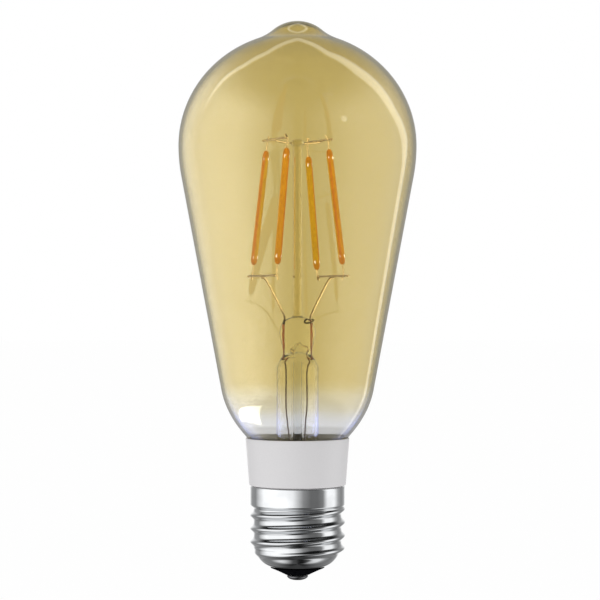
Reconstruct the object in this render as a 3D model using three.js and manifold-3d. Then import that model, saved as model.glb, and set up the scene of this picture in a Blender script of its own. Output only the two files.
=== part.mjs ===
// Smart filament light bulb: an amber-tinted teardrop glass bulb with four LED filaments on a
// glass stem, a plastic collar with the driver and radio inside it, and an E27 screw cap.
// Millimetres, +Z up along the bulb's axis. The origin is the middle of the centre contact's
// flat face, so the cap is at the bottom and the glass tip at the top.

import * as THREE from "three";
import { mergeVertices } from "three/addons/utils/BufferGeometryUtils.js";
import Module from "manifold-3d";

const wasm = await Module();
wasm.setup();

// ---------------------------------------------------------------- driving dimensions

const fit = 0.3; // gap left between pieces that touch, or that are soldered or fused together
const overallLength = 152.6; // contact face to glass tip

// centre contact and its insulator
const contactDiameter = 5.8;
const contactFaceDiameter = 2.8;
const contactHeight = 1.15;
const contactShankDiameter = 1.6;
const contactShankLength = 5.0;
const insulatorTopDiameter = 14.9;
const insulatorBottomDiameter = 6.6;
const insulatorConeHeight = 2.0;
const insulatorNeckHeight = 1.9;

// screw shell, with the E27 thread
const threadMajorDiameter = 26.05;
const threadMinorDiameter = 24.1;
const threadPitch = 3.629;
const threadTurns = 3.25;
const shellSheet = 0.4;
const shellMouthDiameter = 15.2; // bottom opening, which the insulator fills
const shellDomeHeight = 5.15;
const threadLeadIn = 2.2; // the thread starts this far up the dome, and is full after leadInTurns
const leadInTurns = 0.75;
const threadPhase = 0.35; // turns, from +X, of the crest at the band's lower edge
const bandInset = 0.07; // the plain band is this much smaller than the thread, each side
const bandHeight = 4.9;

// plastic collar that houses the driver
const collarHeight = 12.85;
const collarRim = 1.35; // upper edge beyond the bore
const collarStep = 0.27; // how far its lower edge stands out from the band, each side
const collarWall = 1.3;
const collarLedgeHeight = 4.65; // ledge that the glass neck stands on, above the lower edge
const spigotWall = 1.0;
const spigotLength = 4.3; // part of the collar that goes down inside the band

// glass bulb
const glassWall = 0.8;
const widestDiameter = 65;
const domeHeight = 31; // widest place to where the dome would end without its tip
const tipHeight = 3.1; // how far the tip stands above that
const tipRadius = 10.5;
const tipAngle = 40; // degrees of the tip's arc, each side of the axis
const tipFilletRadius = 11.5; // distance from the axis at which the tip has run into the dome
const upperKnee = 4.2; // widest place down to where the taper's line meets the vertical
const shoulderWidth = 5.2; // taper's line to the throat, sideways
const shoulderRise = 5.9; // throat to the end of the taper's line, upwards
const shoulderBlend = 6.6; // length of taper that the shoulder's curve takes up
const throatRise = 0.8; // throat above the collar
const throatStep = 0.25; // throat beyond the collar's edge, each side
const neckDiameter = 23.2;
const neckStraight = 3.3;
const adhesiveWidth = 0.6;
const adhesiveHeight = 3.4;

// glass stem: flare, tube, press and pillar
const stemTubeDiameter = 11.4;
const stemTubeWall = 0.9;
const flareHeight = 7.5;
const pressWidth = 9.5;
const pressThickness = 4.0;
const pressOverlap = 2.2; // shoulder between the round tube and the flat press
const pressHeight = 12.0;
const blowHoleDiameter = 2.0;
const blowHoleRise = 3.0; // middle of the blow hole above the press's lower end
const exhaustDiameter = 3.4;
const exhaustBore = 2.0;
const exhaustTipRise = 2; // sealed tip above the neck's lower edge
const pillarDiameter = 2.6;
const beadDiameter = 3.8;
const beadHeight = 2.2;

// filament cage
const filamentDiameter = 1.85;
const filamentLength = 31.6;
const filamentEndDiameter = 1.3;
const filamentEndLength = 1.3;
const stripWidth = 0.7;
const stripThickness = 0.35;
const stripInset = 2.3; // coating's end to the strip's end
const tabWidth = 0.6;
const tabThickness = 0.3;
const tabTopLength = 4.0; // past the coating's end
const tabBottomLength = 4.2;
const stripClearance = 0.15;
const cageTopRadius = 8.65; // filament axes at the upper cross wires
const cageBottomRadius = 13.7; // filament axes at the lower cross wires
const cageTopTurn = -18; // degrees from +X of the first filament, at each end
const cageBottomTurn = -24;
const cageRise = 11.4; // top of the press to the lower cross wires
const cageAboveMiddle = 5.9; // middle of the cage above the middle of the glass in view
const filamentDrop = 2.8; // upper cross wires to the coatings' upper ends, along the filaments
const filamentRise = 3.1; // lower cross wires to the coatings' lower ends, likewise
const backFilamentDrop = 1.2; // how much lower the back filament's coating is
const crossWireDiameter = 0.5;
const crossWireStandoff = 1.1; // cross wires beyond the filament axes
const crossWireOverhang = 0.6;

// wires through the stem
const leadDiameter = 0.6;
const leadSpacing = 7.2;
const leadSealInset = 0.7; // depth of the inner lead's end inside the press
const weldDrop = 0.85; // a lead's or anchor wire's middle below the cross wire it is welded to
const outerLeadSpacing = 5.6;

// driver and radio
const boardWidth = 17.5;
const boardThickness = 1.0;
const boardHeight = 18.8;
const boardRise = 1.6; // above the contact's shank
const capacitorDiameter = 6.3;
const capacitorLength = 11;
const inductorDiameter = 6;
const inductorLength = 5.6;
const resistorDiameter = 2.6;
const resistorLength = 6.5;
const supplyWireDiameter = 0.8;
const radioBoardSize = { width: 12, depth: 7, thickness: 0.8 };

// how finely the round pieces are divided
const bigSides = 36;
const midSides = 24;
const smallSides = 12;
const wireSides = 8;

// ---------------------------------------------------------------- levels and radii from those

const insulatorBottom = contactHeight + fit;
const insulatorShoulder = insulatorBottom + insulatorConeHeight;
const shellBottom = insulatorShoulder + fit;
const threadBottom = shellBottom + shellDomeHeight;
const bandBottom = threadBottom + threadTurns * threadPitch;
const shellTop = bandBottom + bandHeight;
const collarBottom = shellTop + fit;
const collarTop = collarBottom + collarHeight;
const ledgeTop = collarBottom + collarLedgeHeight;
const neckBottom = ledgeTop + fit;

const threadMajorRadius = threadMajorDiameter / 2;
const threadMinorRadius = threadMinorDiameter / 2;
const bandRadius = threadMajorRadius - bandInset;
const spigotRadius = bandRadius - shellSheet - fit;
const neckRadius = neckDiameter / 2;
const adhesiveInner = neckRadius + fit;
const adhesiveOuter = adhesiveInner + adhesiveWidth;
const collarBore = adhesiveOuter + fit;
const collarTopRadius = collarBore + collarRim;
const collarBottomRadius = Math.max(bandRadius + collarStep, collarBore);

const radians = THREE.MathUtils.degToRad;
const cageTwist = radians(cageTopTurn - cageBottomTurn);
const cageSpread = Math.hypot(
  cageBottomRadius - cageTopRadius * Math.cos(cageTwist),
  cageTopRadius * Math.sin(cageTwist),
);
const filamentReach = filamentDrop + filamentLength + filamentRise;
const cageHeight = Math.sqrt(filamentReach ** 2 - cageSpread ** 2);
const cageMiddle = (collarTop + overallLength) / 2 + cageAboveMiddle;
const cageBottom = cageMiddle - cageHeight / 2;
const cageTop = cageMiddle + cageHeight / 2;
const pressTop = cageBottom - cageRise;
const pressBottom = pressTop - pressHeight;
const stemTubeRadius = stemTubeDiameter / 2;
const stemTubeTop = pressBottom - pressOverlap;
const pillarBottom = pressTop + fit;
const pillarTop = cageTop - weldDrop - beadHeight / 2;
const leadSealTop = pressTop - leadSealInset;
const boardBottom = contactHeight + contactShankLength + boardRise;
const boardTop = boardBottom + boardHeight;

// ---------------------------------------------------------------- shapes

const point = (x, y, z) => new THREE.Vector3(x, y, z);
const spot = (radius, z) => new THREE.Vector2(radius, z);

// A profile of (radius, z) spots turned round the Z axis. It runs from the top of the outside down,
// and either ends on the axis or closes on itself.
function turned(profile, sides) {
  const clockwise = THREE.ShapeUtils.area(profile) < 0;
  const ordered = clockwise ? [...profile].reverse() : profile;
  return new THREE.LatheGeometry(ordered, sides).rotateX(Math.PI / 2);
}

function ring(inner, outer, bottom, top, sides) {
  const corners = [spot(outer, top), spot(outer, bottom), spot(inner, bottom), spot(inner, top)];
  return turned([...corners, corners[0]], sides);
}

function rod(diameter, bottom, top, sides) {
  const middle = (bottom + top) / 2;
  const geometry = new THREE.CylinderGeometry(diameter / 2, diameter / 2, top - bottom, sides);
  return geometry.rotateX(Math.PI / 2).translate(0, 0, middle);
}

// A round wire through the given points.
function wire(points, diameter, steps) {
  const section = new THREE.Shape().absarc(0, 0, diameter / 2, 0, 2 * Math.PI);
  const extrudePath = new THREE.CatmullRomCurve3(points, false, "centripetal");
  return new THREE.ExtrudeGeometry(section, { curveSegments: wireSides / 2, steps, extrudePath });
}

function block(width, depth, height) {
  return new THREE.BoxGeometry(width, depth, height);
}

function toSolid(geometry) {
  const bare = geometry.clone();
  bare.deleteAttribute("normal");
  bare.deleteAttribute("uv");
  const merged = mergeVertices(bare, 1e-4);
  const vertProperties = merged.attributes.position.array;
  const triVerts = new Uint32Array(merged.index.array);
  return new wasm.Manifold(new wasm.Mesh({ numProp: 3, vertProperties, triVerts }));
}

function toGeometry(solid) {
  const mesh = solid.getMesh();
  const geometry = new THREE.BufferGeometry();
  geometry.setAttribute("position", new THREE.BufferAttribute(mesh.vertProperties, 3));
  geometry.setIndex(new THREE.BufferAttribute(mesh.triVerts, 1));
  geometry.computeVertexNormals();
  return geometry;
}

function cutFrom(geometry, ...cutters) {
  const cut = (solid, cutter) => solid.subtract(toSolid(cutter));
  return toGeometry(cutters.reduce(cut, toSolid(geometry)));
}

// The line moved square to itself by distance, towards the axis for a line that runs downwards.
function movedInward(line, distance) {
  return line.map((here, i) => {
    const before = line[Math.max(i - 1, 0)];
    const after = line[Math.min(i + 1, line.length - 1)];
    const along = after.clone().sub(before).normalize();
    const radius = here.x === 0 ? 0 : here.x + along.y * distance;
    const drop = here.x === 0 ? distance : along.x * distance;
    return spot(radius, here.y - drop);
  });
}

// ---------------------------------------------------------------- materials

function finish(color, roughness, metalness) {
  return new THREE.MeshStandardMaterial({ color, roughness, metalness });
}

function glassFinish(color, opacity) {
  const glass = finish(color, 0.05, 0);
  glass.transparent = true;
  glass.opacity = opacity;
  return glass;
}

const amberGlass = glassFinish(0xd9b45f, 0.4);
const clearGlass = glassFinish(0xe8e4d4, 0.5);
const phosphor = finish(0xc87a1e, 0.45, 0);
const sapphire = finish(0xe6e2d8, 0.3, 0);
const nickel = finish(0xa89a78, 0.35, 1);
const copper = finish(0xb0562c, 0.35, 1);
const whitePlastic = finish(0xe2e0df, 0.4, 0);
const whiteAdhesive = finish(0xd8d6d0, 0.7, 0);
const platedBrass = finish(0xcfcfcf, 0.2, 1);
const blackInsulator = finish(0x141414, 0.35, 0);
const greenBoard = finish(0x2c6b45, 0.6, 0);
const darkResin = finish(0x26262a, 0.5, 0);
const blackSleeve = finish(0x1d2230, 0.4, 0);
const yellowFilm = finish(0xc8a13a, 0.45, 0);
const beigeResistor = finish(0xb9a37d, 0.6, 0);
const whiteSleeve = finish(0xd9d9d4, 0.5, 0);
const tinnedSteel = finish(0xb4b6b8, 0.3, 1);

const bulb = new THREE.Group();

function piece(name, geometry, material, group = bulb) {
  const mesh = new THREE.Mesh(geometry, material);
  mesh.name = name;
  group.add(mesh);
  return mesh;
}

// ---------------------------------------------------------------- cap

function addContact() {
  const rim = contactDiameter / 2;
  const shank = contactShankDiameter / 2;
  const face = contactFaceDiameter / 2;
  const edge = new THREE.Path();
  edge.moveTo(rim, contactHeight);
  edge.quadraticCurveTo(rim - 0.1, contactHeight * 0.3, face, 0);
  const top = contactHeight + contactShankLength;
  const outline = [spot(0, top), spot(shank, top), spot(shank, contactHeight)];
  piece("centre_contact", turned([...outline, ...edge.getPoints(4), spot(0, 0)], midSides), tinnedSteel);
}

function addInsulator() {
  const bore = contactShankDiameter / 2 + fit;
  const neck = shellMouthDiameter / 2 - shellSheet - fit;
  const top = insulatorShoulder + insulatorNeckHeight;
  const outline = [
    spot(bore, top),
    spot(neck, top),
    spot(neck, insulatorShoulder),
    spot(insulatorTopDiameter / 2, insulatorShoulder),
    spot(insulatorBottomDiameter / 2, insulatorBottom),
    spot(bore, insulatorBottom),
  ];
  piece("base_insulator", turned([...outline, outline[0]], bigSides), blackInsulator);
}

// How far the right-handed thread stands out at a height and an angle about the axis. It grows
// out of the dome.
function threadDepth(z, angle) {
  const turns = (z - bandBottom) / threadPitch + threadPhase;
  const wave = 0.5 + 0.5 * Math.cos(2 * Math.PI * turns - angle);
  const start = shellBottom + threadLeadIn;
  const grown = THREE.MathUtils.smoothstep(z, start, start + threadPitch * leadInTurns);
  return (threadMajorRadius - threadMinorRadius) * wave * grown;
}

// Outer radius above the dome, where the thread runs out into the band.
function threadRadius(z, angle) {
  const thread = threadMinorRadius + threadDepth(z, angle);
  const runOut = THREE.MathUtils.smoothstep(z, bandBottom - threadPitch / 3, bandBottom);
  return THREE.MathUtils.lerp(thread, bandRadius, runOut);
}

// The shell is a thin sheet: its rows of points go up the outside and come down the inside.
function addShell() {
  const dome = new THREE.Path();
  dome.moveTo(threadMinorRadius, threadBottom);
  const mouth = shellMouthDiameter / 2;
  const swell = (threadMinorRadius - mouth) * 0.72;
  dome.quadraticCurveTo(mouth + swell, shellBottom + shellDomeHeight * 0.19, mouth, shellBottom);
  const domeLine = dome.getPoints(9);
  const domeRow = (p) => ({ z: p.y, radiusAt: (angle) => p.x + threadDepth(p.y, angle) });
  const outside = domeLine.map(domeRow).reverse();
  const inside = movedInward(domeLine, shellSheet).map(domeRow);
  const threadRows = Math.round(threadTurns * 6);
  const upper = [];
  for (let i = 1; i <= threadRows; i++) {
    upper.push(THREE.MathUtils.lerp(threadBottom, bandBottom, i / threadRows));
  }
  upper.push((bandBottom + shellTop) / 2, shellTop);
  for (const z of upper) {
    outside.push({ z, radiusAt: (angle) => threadRadius(z, angle) });
    inside.unshift({ z, radiusAt: (angle) => threadRadius(z, angle) - shellSheet });
  }
  const rows = [...outside, ...inside];
  const corners = [];
  const faces = [];
  rows.forEach((row, i) => {
    const nextRow = ((i + 1) % rows.length) * bigSides;
    for (let j = 0; j < bigSides; j++) {
      const angle = (2 * Math.PI * j) / bigSides;
      const radius = row.radiusAt(angle);
      corners.push(radius * Math.cos(angle), radius * Math.sin(angle), row.z);
      const a = i * bigSides + j;
      const b = i * bigSides + ((j + 1) % bigSides);
      const c = nextRow + j;
      const d = nextRow + ((j + 1) % bigSides);
      faces.push(a, b, d, a, d, c);
    }
  });
  const geometry = new THREE.BufferGeometry();
  geometry.setAttribute("position", new THREE.Float32BufferAttribute(corners, 3));
  geometry.setIndex(faces);
  geometry.computeVertexNormals();
  piece("screw_shell", geometry, platedBrass);
}

// ---------------------------------------------------------------- collar

function addCollar() {
  const edge = fit; // small chamfer at the outer edges
  const lip = collarTopRadius - 0.23;
  const boreTop = collarTop - 2 * (lip - collarBore);
  const spigotInner = spigotRadius - spigotWall;
  const spigotBottom = collarBottom - spigotLength;
  const ledge = Math.min(neckRadius - glassWall, spigotInner);
  const outline = [
    spot(lip, collarTop),
    spot(collarTopRadius - edge / 3, collarTop),
    spot(collarTopRadius, collarTop - edge),
    spot(collarBottomRadius, collarBottom + edge),
    spot(collarBottomRadius - edge, collarBottom),
    spot(spigotRadius, collarBottom),
    spot(spigotRadius, spigotBottom),
    spot(spigotInner, spigotBottom),
    spot(spigotInner, ledgeTop - collarWall),
    spot(ledge, ledgeTop - collarWall / 2),
    spot(ledge, ledgeTop),
    spot(collarBore, ledgeTop),
    spot(collarBore, boreTop),
  ];
  piece("collar_housing", turned([...outline, outline[0]], bigSides), whitePlastic);
  const adhesive = ring(adhesiveInner, adhesiveOuter, neckBottom, neckBottom + adhesiveHeight, bigSides);
  piece("neck_adhesive", adhesive, whiteAdhesive);
}

// ---------------------------------------------------------------- glass bulb

// Where the line through p along u meets the line through q along v.
function meeting(p, u, q, v) {
  const across = u.x * v.y - u.y * v.x;
  const gap = q.clone().sub(p);
  const along = (gap.x * v.y - gap.y * v.x) / across;
  return p.clone().addScaledVector(u, along);
}

// The outside of the glass, from the tip down to the neck's lower edge.
function bulbOutline() {
  const widestRadius = widestDiameter / 2;
  const widestZ = overallLength - tipHeight - domeHeight;
  const line = new THREE.Path();
  const arcEnd = Math.PI / 2 - radians(tipAngle);
  line.absarc(0, overallLength - tipRadius, tipRadius, Math.PI / 2, arcEnd, true);
  const tipEnd = line.currentPoint.clone();
  const tipAlong = spot(Math.cos(radians(tipAngle)), -Math.sin(radians(tipAngle)));
  const domeStart = Math.acos(tipFilletRadius / widestRadius);
  const domeSpot = spot(tipFilletRadius, widestZ + domeHeight * Math.sin(domeStart));
  const domeAlong = spot(widestRadius * Math.sin(domeStart), -domeHeight * Math.cos(domeStart));
  const fillet = meeting(tipEnd, tipAlong, domeSpot, domeAlong);
  line.quadraticCurveTo(fillet.x, fillet.y, domeSpot.x, domeSpot.y);
  line.absellipse(0, widestZ, widestRadius, domeHeight, domeStart, 0, true);

  const throat = spot(collarTopRadius + throatStep, collarTop + throatRise);
  const knee = spot(widestRadius, widestZ - upperKnee);
  const shoulder = spot(throat.x + shoulderWidth, throat.y + shoulderRise);
  const taper = shoulder.clone().sub(knee).normalize();
  const taperTop = knee.clone().addScaledVector(taper, upperKnee);
  const taperEnd = shoulder.clone().addScaledVector(taper, -shoulderBlend);
  line.quadraticCurveTo(knee.x, knee.y, taperTop.x, taperTop.y);
  line.lineTo(taperEnd.x, taperEnd.y);
  line.quadraticCurveTo(shoulder.x, shoulder.y, throat.x, throat.y);

  const inward = throat.clone().sub(shoulder).normalize();
  const pinch = throat.clone().addScaledVector(inward, 2.3);
  const neckTop = neckBottom + neckStraight;
  line.bezierCurveTo(pinch.x, pinch.y, neckRadius, pinch.y - 1.3, neckRadius, neckTop);
  line.lineTo(neckRadius, neckBottom);
  return line.getPoints(3);
}

function addBulb() {
  const outside = bulbOutline();
  outside[0].x = 0;
  const inside = movedInward(outside, glassWall).reverse();
  inside[0].y = neckBottom;
  piece("glass_envelope", turned([...outside, ...inside], bigSides), amberGlass);
}

// ---------------------------------------------------------------- glass stem

function flareLine(radius, rimRadius) {
  const line = new THREE.Path();
  line.moveTo(radius, neckBottom + flareHeight);
  const waist = neckBottom + flareHeight * 0.3;
  line.bezierCurveTo(radius, waist, rimRadius * 0.75, neckBottom, rimRadius, neckBottom);
  return line.getPoints(5);
}

function pressBlock() {
  const half = pressWidth / 2;
  const corner = pressThickness / 4;
  const side = pressThickness / 2;
  const section = new THREE.Shape();
  section.moveTo(-half + corner, -side);
  section.lineTo(half - corner, -side);
  section.absarc(half - corner, -side + corner, corner, -Math.PI / 2, 0, false);
  section.absarc(half - corner, side - corner, corner, 0, Math.PI / 2, false);
  section.absarc(-half + corner, side - corner, corner, Math.PI / 2, Math.PI, false);
  section.absarc(-half + corner, -side + corner, corner, Math.PI, 1.5 * Math.PI, false);
  const options = { depth: pressHeight, bevelEnabled: false, curveSegments: 3 };
  return new THREE.ExtrudeGeometry(section, options).translate(0, 0, pressBottom);
}

function addStem() {
  const inner = stemTubeRadius - stemTubeWall;
  const rim = neckRadius - glassWall - fit;
  const shoulderTop = stemTubeTop + pressOverlap * 1.9;
  const outline = [
    spot(0, shoulderTop + stemTubeWall),
    spot(stemTubeRadius * 0.55, shoulderTop + stemTubeWall / 2),
    spot(stemTubeRadius * 0.88, pressBottom + stemTubeWall),
    spot(stemTubeRadius, stemTubeTop),
    ...flareLine(stemTubeRadius, rim),
    ...flareLine(inner, rim - stemTubeWall).reverse(),
    spot(inner, stemTubeTop),
    spot(inner * 0.8, pressBottom),
    spot(inner * 0.4, shoulderTop - stemTubeWall / 2),
    spot(0, shoulderTop),
  ];
  const tube = turned(outline, midSides);
  const whole = toGeometry(toSolid(tube).add(toSolid(pressBlock())));
  const channel = leadDiameter + 2 * fit;
  const channels = [-1, 1].map((side) =>
    rod(channel, pressBottom - 1, pressTop + 1, wireSides).translate((side * leadSpacing) / 2, 0, 0),
  );
  const blowHole = rod(blowHoleDiameter, -pressThickness, pressThickness, smallSides)
    .rotateX(Math.PI / 2)
    .translate(0, 0, pressBottom + blowHoleRise);
  const exhaustWay = rod(blowHoleDiameter, pressBottom - 1, pressBottom + blowHoleRise, smallSides);
  piece("stem_flare", cutFrom(whole, ...channels, blowHole, exhaustWay), clearGlass);
}

function addExhaustTube() {
  const top = pressBottom - fit;
  const bottom = neckBottom + exhaustTipRise;
  const outer = exhaustDiameter / 2;
  const inner = exhaustBore / 2;
  const outline = [
    spot(outer, top),
    spot(outer, bottom + exhaustDiameter),
    spot(outer * 0.6, bottom + exhaustDiameter / 3),
    spot(0, bottom),
    spot(0, bottom + exhaustDiameter / 2),
    spot(inner * 0.7, bottom + exhaustDiameter * 0.8),
    spot(inner, bottom + exhaustDiameter * 1.2),
    spot(inner, top),
  ];
  piece("exhaust_tube", turned([...outline, outline[0]], smallSides), clearGlass);
}

function addPillar() {
  const bead = new THREE.Path();
  const beadMiddle = pillarTop + beadHeight / 2;
  bead.absellipse(0, beadMiddle, beadDiameter / 2, beadHeight / 2, Math.PI / 2, -radians(48), true);
  const outline = bead.getPoints(5);
  outline[0].x = 0;
  const radius = pillarDiameter / 2;
  outline.push(spot(radius, pillarTop - beadHeight / 3), spot(radius, pillarBottom), spot(0, pillarBottom));
  const hole = rod(crossWireDiameter + 2 * fit, -beadDiameter, beadDiameter, wireSides)
    .rotateY(Math.PI / 2)
    .rotateZ(anchorAngle)
    .translate(0, 0, cageTop - weldDrop);
  piece("centre_pillar", cutFrom(turned(outline, smallSides), hole), clearGlass);
}

// ---------------------------------------------------------------- filament cage

const quarter = Math.PI / 2;
const anchorAngle = radians(cageTopTurn) + quarter / 2;

function around(radius, angle, z) {
  return point(radius * Math.cos(angle), radius * Math.sin(angle), z);
}

function addFilament(side, quarterTurns, lower = 0) {
  const top = around(cageTopRadius, radians(cageTopTurn) + quarterTurns * quarter, cageTop);
  const bottom = around(cageBottomRadius, radians(cageBottomTurn) + quarterTurns * quarter, cageBottom);
  const holder = new THREE.Group();
  const upward = top.clone().sub(bottom).normalize();
  holder.position.copy(top).addScaledVector(upward, -filamentDrop - lower - filamentLength);
  const outward = point(top.x + bottom.x, top.y + bottom.y, 0);
  const sideways = upward.clone().cross(outward).normalize();
  const facing = sideways.clone().cross(upward);
  holder.quaternion.setFromRotationMatrix(new THREE.Matrix4().makeBasis(sideways, facing, upward));
  bulb.add(holder);

  const radius = filamentDiameter / 2;
  const end = filamentEndDiameter / 2;
  const outline = [
    spot(0, filamentLength),
    spot(end, filamentLength),
    spot(radius, filamentLength - filamentEndLength),
    spot(radius, filamentEndLength),
    spot(end, 0),
    spot(0, 0),
  ];
  const slotWidth = stripWidth + 2 * stripClearance;
  const slotDepth = stripThickness + 2 * stripClearance;
  const slot = block(slotWidth, slotDepth, filamentLength + 2).translate(0, 0, filamentLength / 2);
  const coating = cutFrom(turned(outline, smallSides), slot);
  piece(`filament_${side}_coating`, coating, phosphor, holder);

  const strip = block(stripWidth, stripThickness, filamentLength - 2 * stripInset);
  piece(`filament_${side}_strip`, strip.translate(0, 0, filamentLength / 2), sapphire, holder);

  const inside = stripInset - stripClearance;
  const topReach = tabTopLength + lower;
  const topTab = block(tabWidth, tabThickness, topReach + inside);
  topTab.translate(0, 0, filamentLength + (topReach - inside) / 2);
  piece(`filament_${side}_top_tab`, topTab, nickel, holder);
  const bottomReach = tabBottomLength - lower;
  const bottomTab = block(tabWidth, tabThickness, bottomReach + inside);
  bottomTab.translate(0, 0, (inside - bottomReach) / 2);
  piece(`filament_${side}_bottom_tab`, bottomTab, nickel, holder);
}

// A straight wire that ties together two neighbouring filaments' tabs.
function addCrossWire(name, radius, turn, firstQuarter, z) {
  const from = around(radius, radians(turn) + firstQuarter * quarter, z);
  const to = around(radius, radians(turn) + (firstQuarter + 1) * quarter, z);
  const along = to.clone().sub(from).normalize();
  from.addScaledVector(along, -crossWireOverhang);
  to.addScaledVector(along, crossWireOverhang);
  piece(name, wire([from, to], crossWireDiameter, 1), nickel);
}

function addCage() {
  addFilament("right", 0);
  addFilament("back", 1, backFilamentDrop);
  addFilament("left", 2);
  addFilament("front", 3);
  const topRadius = cageTopRadius + crossWireStandoff;
  const bottomRadius = cageBottomRadius + crossWireStandoff;
  addCrossWire("top_cross_wire_right", topRadius, cageTopTurn, 0, cageTop);
  addCrossWire("top_cross_wire_left", topRadius, cageTopTurn, 2, cageTop);
  addCrossWire("bottom_cross_wire_right", bottomRadius, cageBottomTurn, 0, cageBottom);
  addCrossWire("bottom_cross_wire_left", bottomRadius, cageBottomTurn, 2, cageBottom);
  const reach = topRadius * Math.SQRT1_2 + crossWireDiameter / 2;
  const z = cageTop - weldDrop;
  const ends = [around(-reach, anchorAngle, z), around(reach, anchorAngle, z)];
  piece("anchor_wire", wire(ends, crossWireDiameter, 1), nickel);
}

// ---------------------------------------------------------------- wires through the stem

function addLeads(side, sign) {
  const x = (sign * leadSpacing) / 2;
  const weldRadius = (cageBottomRadius + crossWireStandoff) * Math.SQRT1_2;
  const weldAngle = radians(cageBottomTurn) + quarter / 2;
  const weld = around(sign * weldRadius, weldAngle, cageBottom - weldDrop);
  const bend = around(sign * (weldRadius - 1.6), weldAngle, weld.z - 0.9);
  const entry = point(x, 0, pressTop + 0.4);
  const inner = [weld, bend, point(sign * (Math.abs(x) + 0.9), bend.y * 0.15, pressTop + 2.4), entry];
  inner.push(point(x, 0, leadSealTop));
  piece(`inner_lead_${side}`, wire(inner, leadDiameter, 14), nickel);
  const sealBottom = pressBottom + fit;
  const seal = rod(leadDiameter, sealBottom, leadSealTop - fit, wireSides).translate(x, 0, 0);
  piece(`dumet_seal_${side}`, seal, copper);
  const low = (sign * outerLeadSpacing) / 2;
  const outer = [
    point(x, 0, sealBottom - fit),
    point(low, 0, pressBottom - 3),
    point(low, 0, (pressBottom + neckBottom) / 2),
    point(low, -0.4, neckBottom + 4),
    point(low, 0, boardTop + fit),
  ];
  piece(`outer_lead_${side}`, wire(outer, leadDiameter, 18), copper);
}

// ---------------------------------------------------------------- driver and radio

function addDriver() {
  const boardMiddle = boardBottom + boardHeight / 2;
  const face = boardThickness / 2 + fit;
  const board = block(boardWidth, boardThickness, boardHeight).translate(0, 0, boardMiddle);
  piece("driver_board", board, greenBoard);

  const capacitor = rod(capacitorDiameter, 0, capacitorLength, smallSides);
  capacitor.translate(-4.2, -face - capacitorDiameter / 2, boardBottom + 6.3);
  piece("electrolytic_capacitor", capacitor, blackSleeve);

  const inductor = rod(inductorDiameter, 0, inductorLength, smallSides).rotateX(quarter);
  inductor.translate(3.6, -face, boardBottom + 10.8 + inductorDiameter / 2);
  piece("power_inductor", inductor, darkResin);

  const rectifier = block(4.7, 1.6, 3.8).translate(4.2, -face - 0.8, boardBottom + 4.2);
  piece("bridge_rectifier", rectifier, darkResin);

  const film = block(9, 4.5, 7).translate(-1, face + 2.25, boardBottom + 13.3);
  piece("film_capacitor", film, yellowFilm);

  const chip = block(4.9, 1.5, 3.9).translate(2.6, face + 0.75, boardBottom + 4);
  piece("driver_chip", chip, darkResin);

  const resistor = rod(resistorDiameter, boardBottom, boardBottom + resistorLength, smallSides);
  const resistorPlace = point(-5.4, face + resistorDiameter / 2, 0);
  piece("fusible_resistor", resistor.translate(resistorPlace.x, resistorPlace.y, 0), beigeResistor);

  const shankTop = contactHeight + contactShankLength;
  const liveLevel = shankTop + fit;
  const live = [
    point(0, 0, liveLevel),
    point(-0.6, 0.4, liveLevel + 0.35),
    point(-3.2, 1.6, liveLevel + 0.2),
    point(resistorPlace.x + 0.4, resistorPlace.y, liveLevel + 0.3),
    point(resistorPlace.x, resistorPlace.y, boardBottom - fit),
  ];
  piece("live_wire", wire(live, supplyWireDiameter, 12), whiteSleeve);

  const wall = threadMinorRadius - shellSheet - fit - supplyWireDiameter / 2;
  const neutral = [
    point(boardWidth / 2 - 1.2, -face - supplyWireDiameter / 2, boardBottom + 2.2),
    point(boardWidth / 2, -face - 1.2, boardBottom + 1.2),
    point(wall - 0.9, -face - 0.6, boardBottom + 1),
    point(wall, -face, boardBottom + 2.4),
  ];
  piece("neutral_wire", wire(neutral, supplyWireDiameter, 10), whiteSleeve);
}

function addRadio() {
  const { width, depth, thickness } = radioBoardSize;
  const back = boardThickness / 2 + 1.2 + depth / 2;
  const level = ledgeTop - collarWall - thickness;
  const board = block(width, depth, thickness).translate(0, back, level);
  piece("radio_board", board, greenBoard);
  const shieldHeight = 1.3;
  const shieldTop = level - thickness / 2 - fit;
  const shield = block(7, 5.4, shieldHeight).translate(0, back, shieldTop - shieldHeight / 2);
  piece("radio_shield", shield, tinnedSteel);
}

// ---------------------------------------------------------------- assembly

addContact();
addInsulator();
addShell();
addCollar();
addBulb();
addStem();
addExhaustTube();
addPillar();
addCage();
addLeads("left", -1);
addLeads("right", 1);
addDriver();
addRadio();

export default bulb;
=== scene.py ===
import math
import random

import bmesh
import bpy
from bpy.props import FloatProperty, FloatVectorProperty, IntProperty, PointerProperty
from bpy.types import Operator, Panel, PropertyGroup
from mathutils import Matrix, Vector
from mathutils import noise as noise_3d


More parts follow.
